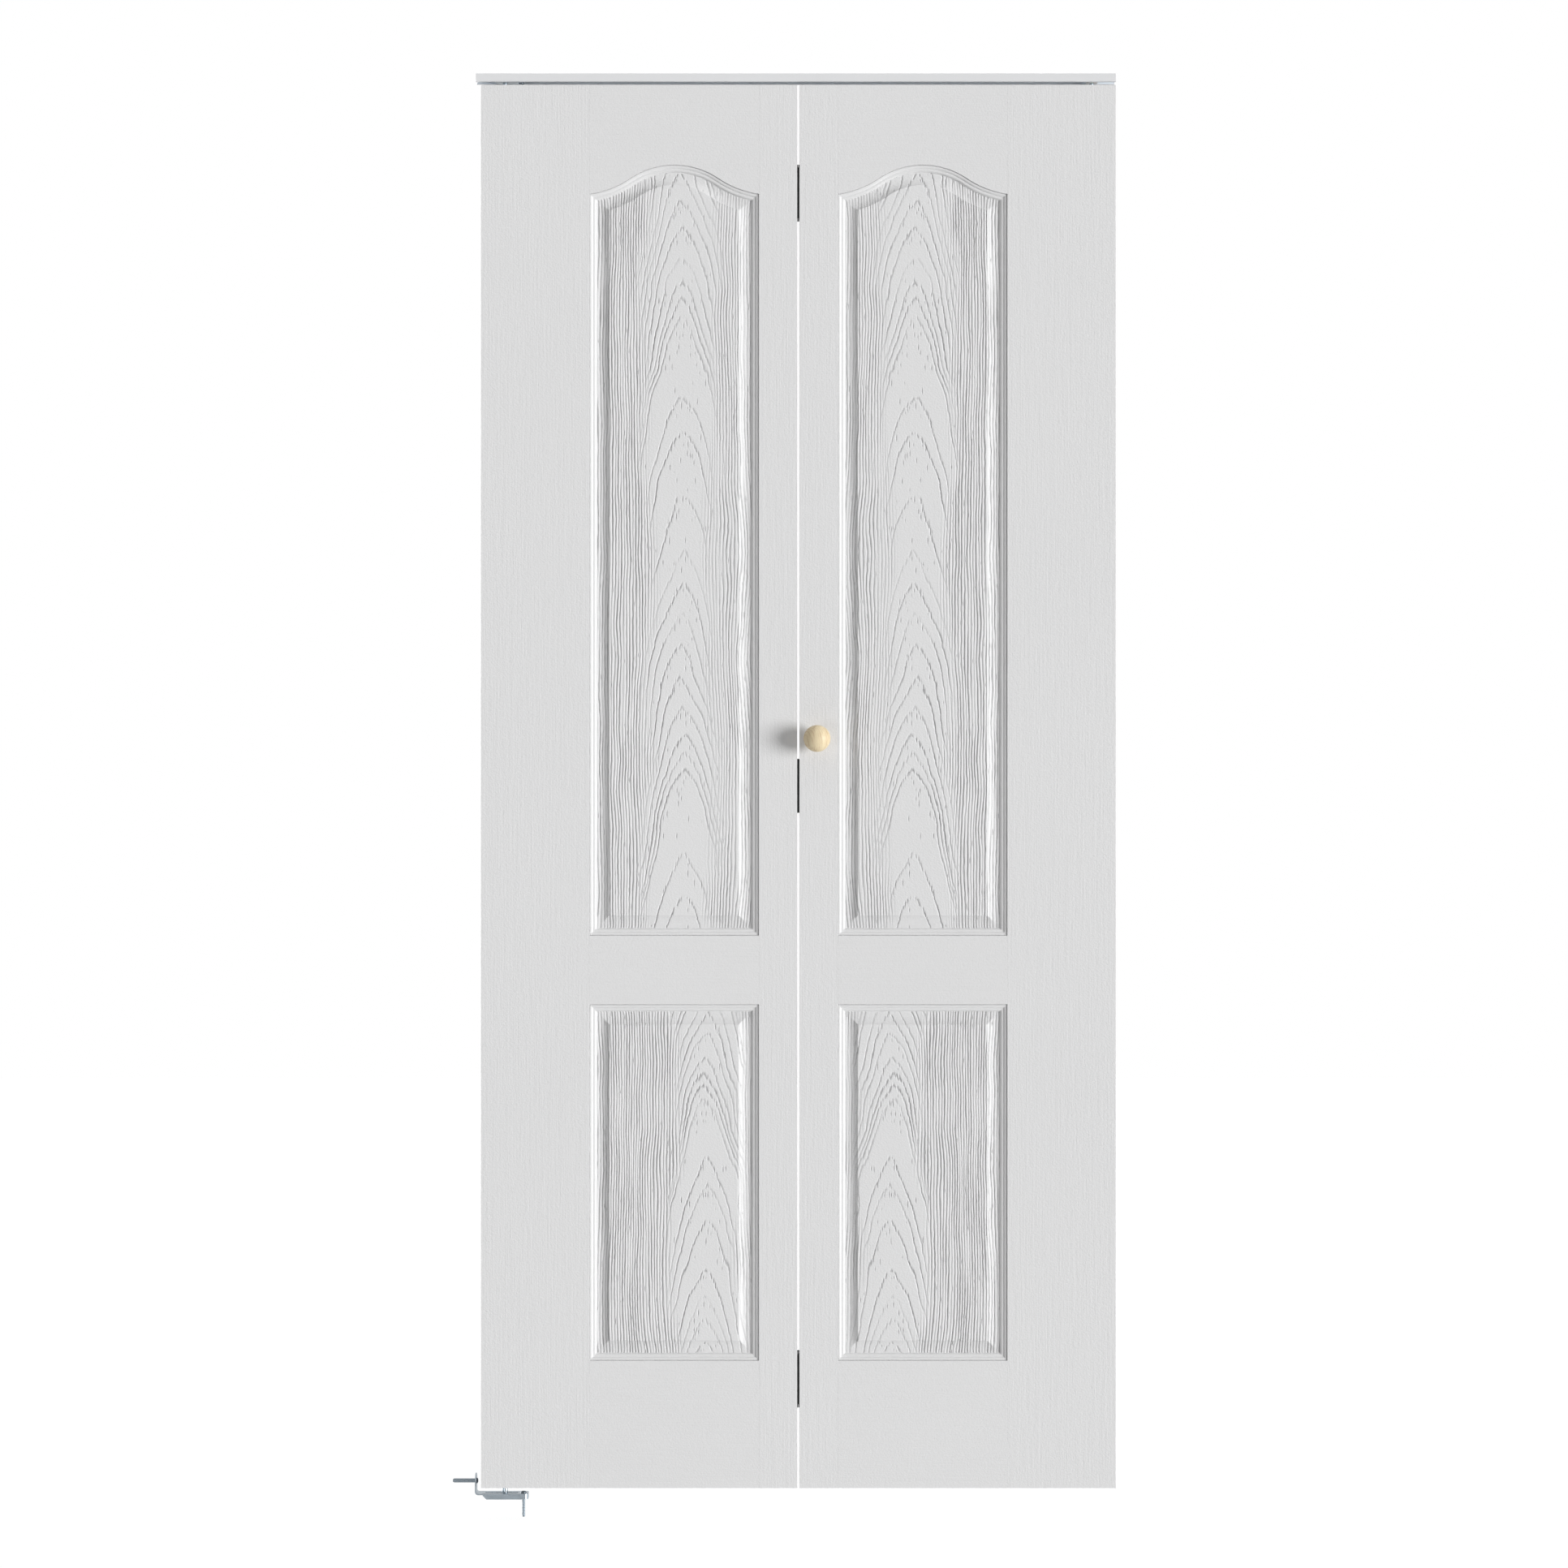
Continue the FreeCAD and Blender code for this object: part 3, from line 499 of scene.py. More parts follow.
# Colours in linear light, the darker before the lighter
primer_shades = ((0.732, 0.732, 0.735), (0.758, 0.758, 0.760))
edge_primer = (0.745, 0.745, 0.748)
# A darker primer for seams and grain, and for painted shade in the pressed grain, the quirk and the
# streaks
darker_primer_and_painted_shade = (0.38, 0.38, 0.385)
softwood_shades = ((0.50, 0.33, 0.17), (0.72, 0.55, 0.34))
zinc_shades = ((0.30, 0.345, 0.38), (0.46, 0.52, 0.57))
screw_shades = ((0.16, 0.19, 0.215), (0.27, 0.31, 0.345))
track_steel_painted_light_shades = ((0.80, 0.85, 0.90), (0.86, 0.91, 0.96))
enamel_shades = ((0.74, 0.745, 0.755), (0.765, 0.77, 0.78))
black_shades = ((0.006, 0.006, 0.007), (0.016, 0.016, 0.018))
late_pine = (0.40, 0.21, 0.07)
early_pine = (0.79, 0.67, 0.45)
paper_shades = ((0.30, 0.20, 0.11), (0.46, 0.33, 0.20))
sleeve_white = (0.80, 0.79, 0.74)
wheel_white = (0.86, 0.86, 0.84)

# Seams between stiles and rails, and the texture of the paint, whose streaks are also painted lighter
# and darker as painted shading of their relief
seam_width = 1.2
seam_soil = 0.1
seam_gaps = 0.45
streak_painted_shading = 0.16
streak_depth = 0.4
peel_scale = 420.0
peel_depth = 0.42
track_peel_depth = 0.15
line_depth = 0.25

# How near to a surface's edge the paint on it starts
rail_paint = 0.2
track_side_paint = 0.5
track_edge_paint = 0.3


class Nodes:
    """A node tree, with short ways to add nodes to it."""

    def __init__(self, tree):
        self.tree = tree

    def node(self, kind, **settings):
        made = self.tree.nodes.new("ShaderNode" + kind)
        for name, value in settings.items():
            setattr(made, name, value)
        return made

    def feed(self, socket, value):
        """Links a socket to another, or sets it to a number or a colour."""
        if isinstance(value, bpy.types.NodeSocket):
            self.tree.links.new(value, socket)
        elif isinstance(value, tuple) and len(value) == 3 and socket.type == "RGBA":
            socket.default_value = (*value, 1.0)
        else:
            socket.default_value = value

    def math(self, operation, *values):
        node = self.node("Math", operation=operation)
        for socket, value in zip(node.inputs, values):
            self.feed(socket, value)
        return node.outputs[0]

    def coordinates(self, place):
        """The three coordinates of a place, by name."""
        parts = self.node("SeparateXYZ")
        self.feed(parts.inputs[0], place)
        return parts.outputs


class Graph(Nodes):
    """A new material, with the patterns that the door's finishes share."""

    def __init__(self, name):
        self.material = bpy.data.materials.new(name)
        self.material.use_nodes = True
        super().__init__(self.material.node_tree)
        self.surface = self.tree.nodes["Principled BSDF"]
        self.place = self.node("TexCoord").outputs["Object"]
        self.axes = None

    def noise(self, scale, detail=2.0, roughness=0.5, distortion=0.0):
        """Noise of a scale in features per metre, along all axes or along each of them."""
        stretch = self.node("VectorMath", operation="MULTIPLY")
        self.feed(stretch.inputs[0], self.place)
        stretch.inputs[1].default_value = np.full(3, scale)
        node = self.node("TexNoise")
        self.feed(node.inputs["Vector"], stretch.outputs[0])
        settings = {"Scale": 1.0, "Detail": detail, "Roughness": roughness, "Distortion": distortion}
        for name, value in settings.items():
            node.inputs[name].default_value = value
        return node.outputs["Fac"]

    def between(self, value, low, high):
        """1 where value lies between low and high, else 0."""
        above = self.math("GREATER_THAN", value, low)
        return self.math("MULTIPLY", above, self.math("LESS_THAN", value, high))

    def spread(self, value, low, high):
        """value from 0 to 1 carried to a range from low to high."""
        node = self.node("MapRange")
        for name, given in (("Value", value), ("To Min", low), ("To Max", high)):
            self.feed(node.inputs[name], given)
        return node.outputs["Result"]

    def mix(self, share, first, second):
        """A colour between two, by share."""
        node = self.node("Mix", data_type="RGBA")
        for index, value in zip((0, 6, 7), (share, first, second)):
            self.feed(node.inputs[index], value)
        return node.outputs[2]

    def bump(self, height, distance, below=None):
        node = self.node("Bump")
        node.inputs["Distance"].default_value = distance * MM
        self.feed(node.inputs["Height"], height)
        if below is not None:
            self.feed(node.inputs["Normal"], below)
        return node.outputs["Normal"]

    def axis(self, name):
        """One coordinate of the place on the object, in metres."""
        if self.axes is None:
            self.axes = self.coordinates(self.place)
        return self.axes[name]

    def finish(self, **sockets):
        for name, value in sockets.items():
            self.feed(self.surface.inputs[name.replace("_", " ")], value)
        return self.material


def primer_colour(graph, darkening):
    """The door's white primer: faintly cloudy, and darker by a share: painted shade in the pressed
    grain, the quirk and the flat faces' streaks, and the wood's grain and the seams.
    """
    cloud = graph.noise(2.5, detail=3.0)
    return graph.mix(darkening, graph.mix(cloud, *primer_shades), darker_primer_and_painted_shade)


def orange_peel(graph, below=None):
    peel = graph.noise(peel_scale, detail=3.0, roughness=0.6)
    return graph.bump(peel, peel_depth, below)


def panel_primer():
    """Primer on the moulded panels, darker in the pressed grain and the quirk as painted shade."""
    graph = Graph("door_panel_primer")
    groove = graph.node("Attribute", attribute_name="groove").outputs["Fac"]
    # The groove attribute darkens the primer: painted shade in the pressed grain and the quirk
    colour = primer_colour(graph, groove)
    rough = graph.spread(graph.noise(90.0), 0.42, 0.52)
    normal = orange_peel(graph)
    return graph.finish(Base_Color=colour, Roughness=rough, Normal=normal, Specular_IOR_Level=0.35)


def flat_primer(hinge_axis, near_seam, far_seam):
    """Primer on the flat faces: upright lines on stiles, level ones on rails, seams between; the lines
    are painted lighter and darker as painted shading.
    """
    graph = Graph("door_face_primer")
    from_hinge = graph.math("ABSOLUTE", graph.math("SUBTRACT", graph.axis("X"), hinge_axis))
    rails = graph.between(from_hinge, near_seam, far_seam)
    upright = graph.noise((430.0, 430.0, 14.0), detail=4.0, roughness=0.7)
    level = graph.noise((14.0, 430.0, 430.0), detail=4.0, roughness=0.7)
    streaks = graph.spread(rails, upright, level)
    half = seam_width * MM / 2
    seams = [graph.between(from_hinge, seam - half, seam + half) for seam in (near_seam, far_seam)]
    dashes = graph.math("GREATER_THAN", graph.noise((900.0, 900.0, 60.0), detail=1.0), seam_gaps)
    dashes = graph.math("MULTIPLY", graph.math("MAXIMUM", *seams), dashes)
    dashes = graph.math("MULTIPLY", dashes, seam_soil)
    # Painted shading: the streaks lighten and darken the primer on top of their bump; the seam dashes
    # are darker joints
    darkening = graph.math("MULTIPLY_ADD", graph.math("SUBTRACT", streaks, 0.5), streak_painted_shading, dashes)
    colour = primer_colour(graph, darkening)
    height = graph.math("SUBTRACT", streaks, dashes)
    normal = orange_peel(graph, graph.bump(height, streak_depth))
    rough = graph.spread(streaks, 0.42, 0.54)
    return graph.finish(Base_Color=colour, Roughness=rough, Normal=normal, Specular_IOR_Level=0.35)


def primed_edge():
    """White primer on the stiles' edges, with the wood's grain showing through."""
    graph = Graph("stile_primed")
    lines = graph.noise((260.0, 260.0, 5.0), detail=4.0, roughness=0.65)
    colour = primer_colour(graph, graph.math("MULTIPLY", lines, 0.25))
    normal = orange_peel(graph, graph.bump(lines, line_depth))
    rough = graph.spread(lines, 0.5, 0.66)
    return graph.finish(Base_Color=colour, Roughness=rough, Normal=normal, Specular_IOR_Level=0.3)


def rail_wood(low, high):
    """Bare softwood with its grain along the rails, primed on the leaf's top and bottom edges."""
    graph = Graph("frame_wood")
    broad = graph.noise((7.0, 90.0, 90.0), detail=3.0, distortion=0.6)
    fine = graph.noise((63.0, 810.0, 810.0), detail=3.0, roughness=0.7)
    bands = graph.math("ADD", graph.math("MULTIPLY", broad, 0.65), graph.math("MULTIPLY", fine, 0.35))
    ramp = graph.node("ValToRGB")
    graph.feed(ramp.inputs["Fac"], bands)
    for element, position, shade in zip(ramp.color_ramp.elements, (0.34, 0.62), softwood_shades):
        element.position = position
        element.color = (*shade, 1.0)
    above = graph.math("GREATER_THAN", graph.axis("Z"), high - rail_paint * MM)
    below = graph.math("LESS_THAN", graph.axis("Z"), low + rail_paint * MM)
    painted = graph.math("MAXIMUM", above, below)
    return graph.finish(
        Base_Color=graph.mix(painted, ramp.outputs["Color"], edge_primer),
        Roughness=graph.spread(fine, 0.55, 0.75),
        Normal=graph.bump(fine, 0.1),
        Specular_IOR_Level=0.3,
    )


def plated_steel(name, shades, rough):
    """Zinc plate with a cloudy spangle, fine speckle and draw marks."""
    graph = Graph(name)
    cloud = graph.noise(160.0, detail=3.0)
    speckle = graph.noise(1500.0, detail=2.0, roughness=0.7)
    marks = graph.noise((60.0, 1600.0, 1600.0), detail=2.0)
    blend = graph.math("ADD", graph.math("MULTIPLY", cloud, 0.5), graph.math("MULTIPLY", speckle, 0.5))
    spread = graph.math("ADD", cloud, graph.math("MULTIPLY", marks, 0.3))
    return graph.finish(
        Base_Color=graph.mix(blend, *shades),
        Roughness=graph.spread(spread, *rough),
        Normal=graph.bump(graph.math("ADD", marks, speckle), 0.03),
        Metallic=1.0,
    )


def enamelled_track(low, high):
    """White enamel outside, bare plated steel inside the channel, paler than such steel is as painted
    light in the shaded channel.
    """
    graph = Graph("track_white")
    half = (high.y - low.y) / 2
    from_middle = graph.math("ABSOLUTE", graph.math("SUBTRACT", graph.axis("Y"), (high.y + low.y) / 2))
    outside = graph.math("GREATER_THAN", from_middle, half - track_side_paint * MM)
    top = graph.math("GREATER_THAN", graph.axis("Z"), high.z - track_edge_paint * MM)
    lips = graph.math("LESS_THAN", graph.axis("Z"), low.z + track_edge_paint * MM)
    painted = graph.math("MAXIMUM", graph.math("MAXIMUM", outside, top), lips)
    # Painted light: the bare steel inside is made pale to brighten the shaded channel
    steel = graph.mix(graph.noise(160.0, detail=3.0), *track_steel_painted_light_shades)
    enamel = graph.mix(graph.noise(3.0), *enamel_shades)
    peel = graph.math("MULTIPLY", graph.noise(peel_scale, detail=3.0), painted)
    return graph.finish(
        Base_Color=graph.mix(painted, steel, enamel),
        Metallic=graph.math("MULTIPLY", graph.math("SUBTRACT", 1.0, painted), 0.1),
        Roughness=graph.spread(graph.noise(300.0), 0.34, 0.46),
        Normal=graph.bump(peel, track_peel_depth),
    )


# Near-black and cloudy, for the hinges and their screws
def hinge_near_black():
    graph = Graph("hinge_black")
    cloud = graph.noise(220.0, detail=4.0)
    rough = graph.spread(cloud, 0.32, 0.55)
    colour = graph.mix(cloud, *black_shades)
    return graph.finish(Base_Color=colour, Roughness=rough, Normal=orange_peel(graph))


def nylon(name, tone, rough):
    """Moulded nylon, slightly milky."""
    graph = Graph(name)
    cloud = graph.noise(140.0, detail=3.0)
    darker = tuple(value * 0.92 for value in tone)
    return graph.finish(
        Base_Color=graph.mix(cloud, darker, tone),
        Roughness=graph.spread(cloud, rough - 0.06, rough + 0.06),
        Normal=graph.bump(cloud, 0.05),
        Subsurface_Weight=0.08,
        Subsurface_Scale=0.002,
    )


def turned_pine():
    """Sanded pine: growth rings cut by the turned ball, light with darker late wood."""
    graph = Graph("knob_pine")
    warp = graph.noise((45.0, 45.0, 14.0), detail=2.0)
    across = graph.math("MULTIPLY", warp, ring_warp * MM)
    for axis, share in zip("XYZ", ring_normal):
        across = graph.math("MULTIPLY_ADD", graph.axis(axis), share, across)
    ring = graph.math("FRACT", graph.math("DIVIDE", across, ring_spacing * MM))
    late = graph.math("POWER", ring, 2.2)
    fibres = graph.noise((1100.0, 900.0, 60.0), detail=3.0, roughness=0.7)
    broad = graph.noise((160.0, 90.0, 18.0), detail=2.0)
    share = graph.math("MULTIPLY", late, graph.spread(broad, -0.15, 0.75))
    share = graph.math("MULTIPLY_ADD", graph.math("SUBTRACT", fibres, 0.4), 0.5, share)
    share = graph.math("MULTIPLY_ADD", graph.math("SUBTRACT", broad, 0.5), 0.8, share)
    return graph.finish(
        Base_Color=graph.mix(graph.math("MAXIMUM", share, 0.0), early_pine, late_pine),
        Roughness=graph.spread(fibres, 0.36, 0.5),
        Normal=graph.bump(fibres, 0.06),
        Specular_IOR_Level=0.3,
    )


def kraft_paper():
    graph = Graph("core_paper")
    fibres = graph.noise((500.0, 500.0, 90.0), detail=4.0, roughness=0.7)
    colour = graph.mix(fibres, *paper_shades)
    return graph.finish(Base_Color=colour, Roughness=0.9, Normal=graph.bump(fibres, 0.1))


# Meshes

def new_object(name, data):
    made = bpy.data.objects.new(name, data)
    bpy.context.scene.collection.objects.link(made)
    return made


def made_object(name, mesh, body, material):
    """A piece of the scene that rides on a body."""
    piece = new_object(name, mesh)
    mesh.materials.clear()
    mesh.materials.append(material)
    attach(piece, body)
    return piece


def panel_arrays(panel, face_y, columns, row):
    """Points, faces and grooves of a closed moulded sheet in the pivot leaf's front."""
    rows = row_share * round((panel.top - panel.bottom) / row / row_share)
    (x, z, inset, depth), front_faces = sheet(panel, profile(), columns, rows)
    groove, pressed = grain(panel, x, z, inset)
    front = np.stack([x, face_y + depth + pressed, z], 1)
    coarse_x, coarse_z = columns // column_share, rows // row_share
    (bx, bz, _, back_depth), back_faces = sheet(panel, back_profile(), coarse_x, coarse_z)
    back = np.stack([bx, face_y + back_depth, bz], 1)
    start = len(front)
    quads = np.concatenate([front_faces, back_faces[:, ::-1] + start])
    groove = np.concatenate([groove, np.zeros(len(back))])
    return np.concatenate([front, back]), quads, rim_faces(coarse_x, coarse_z, start), groove


def rim_faces(coarse_x, coarse_z, start):
    """Faces that join the fine front outline to the coarse back outline."""
    shares = [column_share] * coarse_x + [row_share] * coarse_z
    shares += shares
    fine_count = sum(shares)
    faces = []
    fine = 0
    for step, share in enumerate(shares):
        following = (step + 1) % len(shares)
        ends = [(fine + back) % fine_count for back in range(share, 0, -1)]
        faces.append([fine, start + step, start + following] + ends)
        fine += share
    return faces


def mesh_from(name, points, quads, rims, flip):
    """A smooth-shaded mesh from arrays of points and quads, closed by rims of more corners."""
    corners = np.concatenate([quads.ravel()] + [np.array(rim) for rim in rims])
    sizes = np.concatenate([np.full(len(quads), 4), [len(rim) for rim in rims]])
    starts = np.concatenate([[0], np.cumsum(sizes)[:-1]])
    mesh = bpy.data.meshes.new(name)
    mesh.vertices.add(len(points))
    mesh.vertices.foreach_set("co", (points * MM).ravel())
    mesh.loops.add(len(corners))
    mesh.loops.foreach_set("vertex_index", corners)
    mesh.polygons.add(len(sizes))
    mesh.polygons.foreach_set("loop_start", starts)
    mesh.polygons.foreach_set("use_smooth", np.ones(len(sizes), dtype=bool))
    mesh.update(calc_edges=True)
    if flip:
        mesh.flip_normals()
    mesh.set_sharp_from_angle(angle=math.radians(crease_angle))
    return mesh


def plate_mesh(name, low, high, holes, y):
    """A flat plate with openings: the skin's face around its moulded panels."""
    curve = bpy.data.curves.new(name, "CURVE")
    curve.dimensions = "2D"
    curve.fill_mode = "BOTH"
    curve.extrude = skin_thickness / 2
    rim = [(low.x, low.z), (high.x, low.z), (high.x, high.z), (low.x, high.z)]
    for ring in [rim] + holes:
        spline = curve.splines.new("POLY")
        spline.points.add(len(ring) - 1)
        spline.use_cyclic_u = True
        for point, (px, pz) in zip(spline.points, ring):
            point.co = (px, pz, 0.0, 1.0)
    holder = new_object(name + "_outline", curve)
    mesh = bpy.data.meshes.new_from_object(holder)
    bpy.data.objects.remove(holder)
    flat = np.empty(len(mesh.vertices) * 3)
    mesh.vertices.foreach_get("co", flat)
    flat = flat.reshape(-1, 3)
    placed = np.stack([flat[:, 0], y - flat[:, 2], flat[:, 1]], 1) * MM
    mesh.vertices.foreach_set("co", placed.ravel())
    mesh.name = name
    return mesh


# Pieces

def door_panels(low, high):
    """The two panels of the pivot leaf, from the leaf's corners."""
    left = low.x + outer_face
    right = high.x - hinge_face
    lower_bottom = low.z + bottom_face
    lower_top = lower_bottom + lower_panel_height
    return [
        Panel("lower", left, right, lower_bottom, lower_top, False),
        Panel("upper", left, right, lower_top + lock_face, high.z - crest_face, True),
    ]


# For each skin: node, body, and whether it is mirrored left to right and front to back
skin_places = (
    ("pivot_leaf_front_skin", "pivot_leaf", False, False),
    ("pivot_leaf_back_skin", "pivot_leaf", False, True),
    ("lead_leaf_front_skin", "lead_leaf", True, False),
    ("lead_leaf_back_skin", "lead_leaf", True, True),
)


def mirrored(points, hinge_x, left_right, front_back):
    """Points of the pivot leaf's front, carried to another leaf or to the back."""
    points = points.copy()
    if left_right:
        points[:, 0] = 2 * hinge_x - points[:, 0]
    if front_back:
        points[:, 1] = -points[:, 1]
    return points


def mirror_mesh(mesh, hinge_x, left_right, front_back):
    flat = np.empty(len(mesh.vertices) * 3)
    mesh.vertices.foreach_get("co", flat)
    placed = mirrored(flat.reshape(-1, 3) / MM, hinge_x, left_right, front_back) * MM
    mesh.vertices.foreach_set("co", placed.ravel())
    if left_right != front_back:
        mesh.flip_normals()


def panel_opening(panel):
    """Points round a panel's opening: its corners, with its arch in steps if it has one."""
    steps = back_columns if panel.arched else 1
    across = np.linspace(panel.left, panel.right, steps + 1)[::-1]
    x = [panel.left, panel.right] + across.tolist()
    z = [panel.bottom, panel.bottom] + panel.top_at(across, 0.0).tolist()
    return list(zip(x, z))


def knob_hole(hinge_x):
    """Points round the hole for the knob's screw, in the pivot leaf's place."""
    low, high = [Vector(v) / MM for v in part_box("knob")]
    x = 2 * hinge_x - (low.x + high.x) / 2
    z = (low.z + high.z) / 2
    turns = np.linspace(0.0, 2 * math.pi, hole_steps + 1)[:-1]
    radius = knob_bore[0] + hole_clearance
    return list(zip(x + radius * np.cos(turns), z + radius * np.sin(turns)))


def skins(face_material, panel_material):
    """The four moulded skins: a flat face each, and the two panels that fill its openings."""
    low, high = [Vector(v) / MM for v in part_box("pivot_leaf_front_skin")]
    lead_low = Vector(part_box("lead_leaf_front_skin")[0]) / MM
    hinge_x = (high.x + lead_low.x) / 2
    panels = door_panels(low, high)
    fine = {panel.name: panel_arrays(panel, low.y, front_columns, front_row) for panel in panels}
    coarse = {panel.name: panel_arrays(panel, low.y, back_columns, back_row) for panel in panels}
    openings = [panel_opening(panel) for panel in panels]
    for node, body, left_right, front_back in skin_places:
        holes = openings + [knob_hole(hinge_x)] if body == "lead_leaf" else openings
        plate = plate_mesh(node + "_face", low, high, holes, low.y + skin_thickness / 2)
        mirror_mesh(plate, hinge_x, left_right, front_back)
        piece = made_object(node + "_face", plate, body, face_material)
        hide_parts(node)
        for panel in panels:
            points, quads, rims, groove = (coarse if front_back else fine)[panel.name]
            points = mirrored(points, hinge_x, left_right, front_back)
            name = node.replace("_skin", "_") + panel.name + "_panel"
            mesh = mesh_from(name, points, quads, rims, left_right != front_back)
            layer = mesh.attributes.new("groove", "FLOAT", "POINT")
            layer.data.foreach_set("value", groove)
            piece = made_object(name, mesh, body, panel_material)
            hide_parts(node)


def round_rings(rows, steps):
    """Radii and heights of rings with many steps, from (radius, height) rows."""
    rows = np.array(rows)
    return np.repeat(rows[:, :1], steps, axis=1), np.repeat(rows[:, 1:], steps, axis=1)


def turned_mesh(name, radii, heights, base, direction):
    """A closed mesh turned round an axis, smooth but for its sharp edges.

    radii and heights have a row for each ring, from pole to pole, and a column for each step.
    """
    axis = Vector(direction)
    side = axis.orthogonal().normalized()
    other = axis.cross(side)
    steps = radii.shape[1]
    turns = 2 * math.pi * np.arange(steps) / steps
    across = np.outer(np.cos(turns), side) + np.outer(np.sin(turns), other)
    rings = np.array(base) + radii[..., None] * across + heights[..., None] * np.array(axis)
    count = len(rings)
    index = 1 + np.arange((count - 2) * steps).reshape(count - 2, steps)
    poles = [rings[0].mean(axis=0), rings[-1].mean(axis=0)]
    points = np.concatenate([poles[:1], rings[1:-1].reshape(-1, 3), poles[1:]]) * MM
    after = np.roll(index, -1, axis=1)
    faces = np.stack([index[:-1], after[:-1], after[1:], index[1:]], -1).reshape(-1, 4).tolist()
    last = len(points) - 1
    for step in range(steps):
        faces.append((0, int(after[0][step]), int(index[0][step])))
        faces.append((last, int(index[-1][step]), int(after[-1][step])))
    mesh = bpy.data.meshes.new(name)
    mesh.from_pydata(points.tolist(), [], faces)
    shell = bmesh.new()
    shell.from_mesh(mesh)
    bmesh.ops.recalc_face_normals(shell, faces=shell.faces)
    shell.to_mesh(mesh)
    shell.free()
    mesh.shade_smooth()
    mesh.set_sharp_from_angle(angle=math.radians(crease_angle))
    return mesh


def screw_rows(node, length):
    """(radius, height) of a screw's rings, from the middle of its head to its point."""
    radius, head_radius, head_height, pitch, _ = screw_sizes[node]
    crown = head_radius * crown_share
    rows = [(crown * share, -head_height) for share in np.linspace(0.0, 1.0, crown_rings)]
    rows += [(head_radius * shoulder_share, -head_height * side_share), (head_radius, -head_edge)]
    rows += [(head_radius, 0.0), (radius, 0.0)]
    taper = screw_taper * radius
    for height in np.arange(pitch / thread_rings, length, pitch / thread_rings):
        end = min(1.0, (length - height) / taper)
        rows.append((radius * (screw_tip_share + (1 - screw_tip_share) * end), height))
    rows.append((0.0, length))
    return rows


def threaded(radii, heights, turns, node):
    """Radii with the thread's groove cut into the shank."""
    radius, _, _, pitch, depth = screw_sizes[node]
    winding = (heights / pitch + turns / (2 * math.pi)) % 1.0
    steepness, flat = thread_flank
    cut = np.clip(np.abs(winding - 0.5) * steepness - flat, 0.0, 1.0)
    cut[:head_rings] = 0.0
    return radii - depth * cut * np.minimum(1.0, radii / radius)


def recessed(radii, heights, turns):
    """Heights with a cross recess sunk into the crown of the head."""
    x = np.abs(radii * np.cos(turns))
    y = np.abs(radii * np.sin(turns))
    half_width, reach = recess_arm
    side, end = recess_walls
    arms = np.maximum(
        smooth(half_width - x, 0.0, side) * smooth(reach - y, 0.0, end),
        smooth(half_width - y, 0.0, side) * smooth(reach - x, 0.0, end),
    )
    arms[crown_rings:] = 0.0
    return heights + recess_depth * arms * (recess_fall - np.hypot(x, y) / reach)


def screw(node, body, direction, material):
    """A screw with a cross recess and a thread, pointing along a direction."""
    low, high = [Vector(v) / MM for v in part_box(node)]
    head_height = screw_sizes[node][2]
    axis = Vector(direction)
    length = abs((high - low).dot(axis)) - head_height
    middle = (low + high) / 2
    base = middle - axis * ((length + head_height) / 2 - head_height)
    radii, heights = round_rings(screw_rows(node, length), turn_steps)
    turns = 2 * math.pi * np.arange(turn_steps) / turn_steps
    radii = threaded(radii, heights, turns, node)
    mesh = turned_mesh(node, radii, recessed(radii, heights, turns), base, axis)
    piece = made_object(node + "_detail", mesh, body, material)
    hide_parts(node)


def spring(node, body, material):
    """A coil spring with closed end turns, as long as its box."""
    low, high = [Vector(v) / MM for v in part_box(node)]
    middle_x = (low.x + high.x) / 2
    middle_y = (low.y + high.y) / 2
    length = high.z - low.z
    turns = round(length / spring_pitch)
    count = turns * coil_steps + 1
    turn = np.linspace(0.0, turns, count)
    rise = length - spring_wire
    stops = [0.0, 1.0, turns - 1.0, float(turns)]
    climb = np.interp(turn, stops, [0.0, spring_end_pitch, rise - spring_end_pitch, rise])
    around = 2 * math.pi * np.arange(wire_steps) / wire_steps
    wire = spring_wire / 2
    reach = (high.x - low.x) / 2 - wire + wire * np.cos(around)
    angle = 2 * math.pi * turn[:, None]
    points = np.stack([
        middle_x + reach * np.cos(angle),
        middle_y + reach * np.sin(angle),
        low.z + wire + climb[:, None] + wire * np.sin(around),
    ], -1).reshape(-1, 3)
    index = np.arange(count * wire_steps).reshape(count, wire_steps)
    after = np.roll(index, -1, axis=1)
    quads = np.stack([index[:-1], index[1:], after[1:], after[:-1]], -1).reshape(-1, 4)
    ends = [index[0].tolist(), index[-1][::-1].tolist()]
    mesh = mesh_from(node + "_coil", points, quads, ends, False)
    piece = made_object(node + "_coil", mesh, body, material)
    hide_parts(node)
    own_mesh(piece)


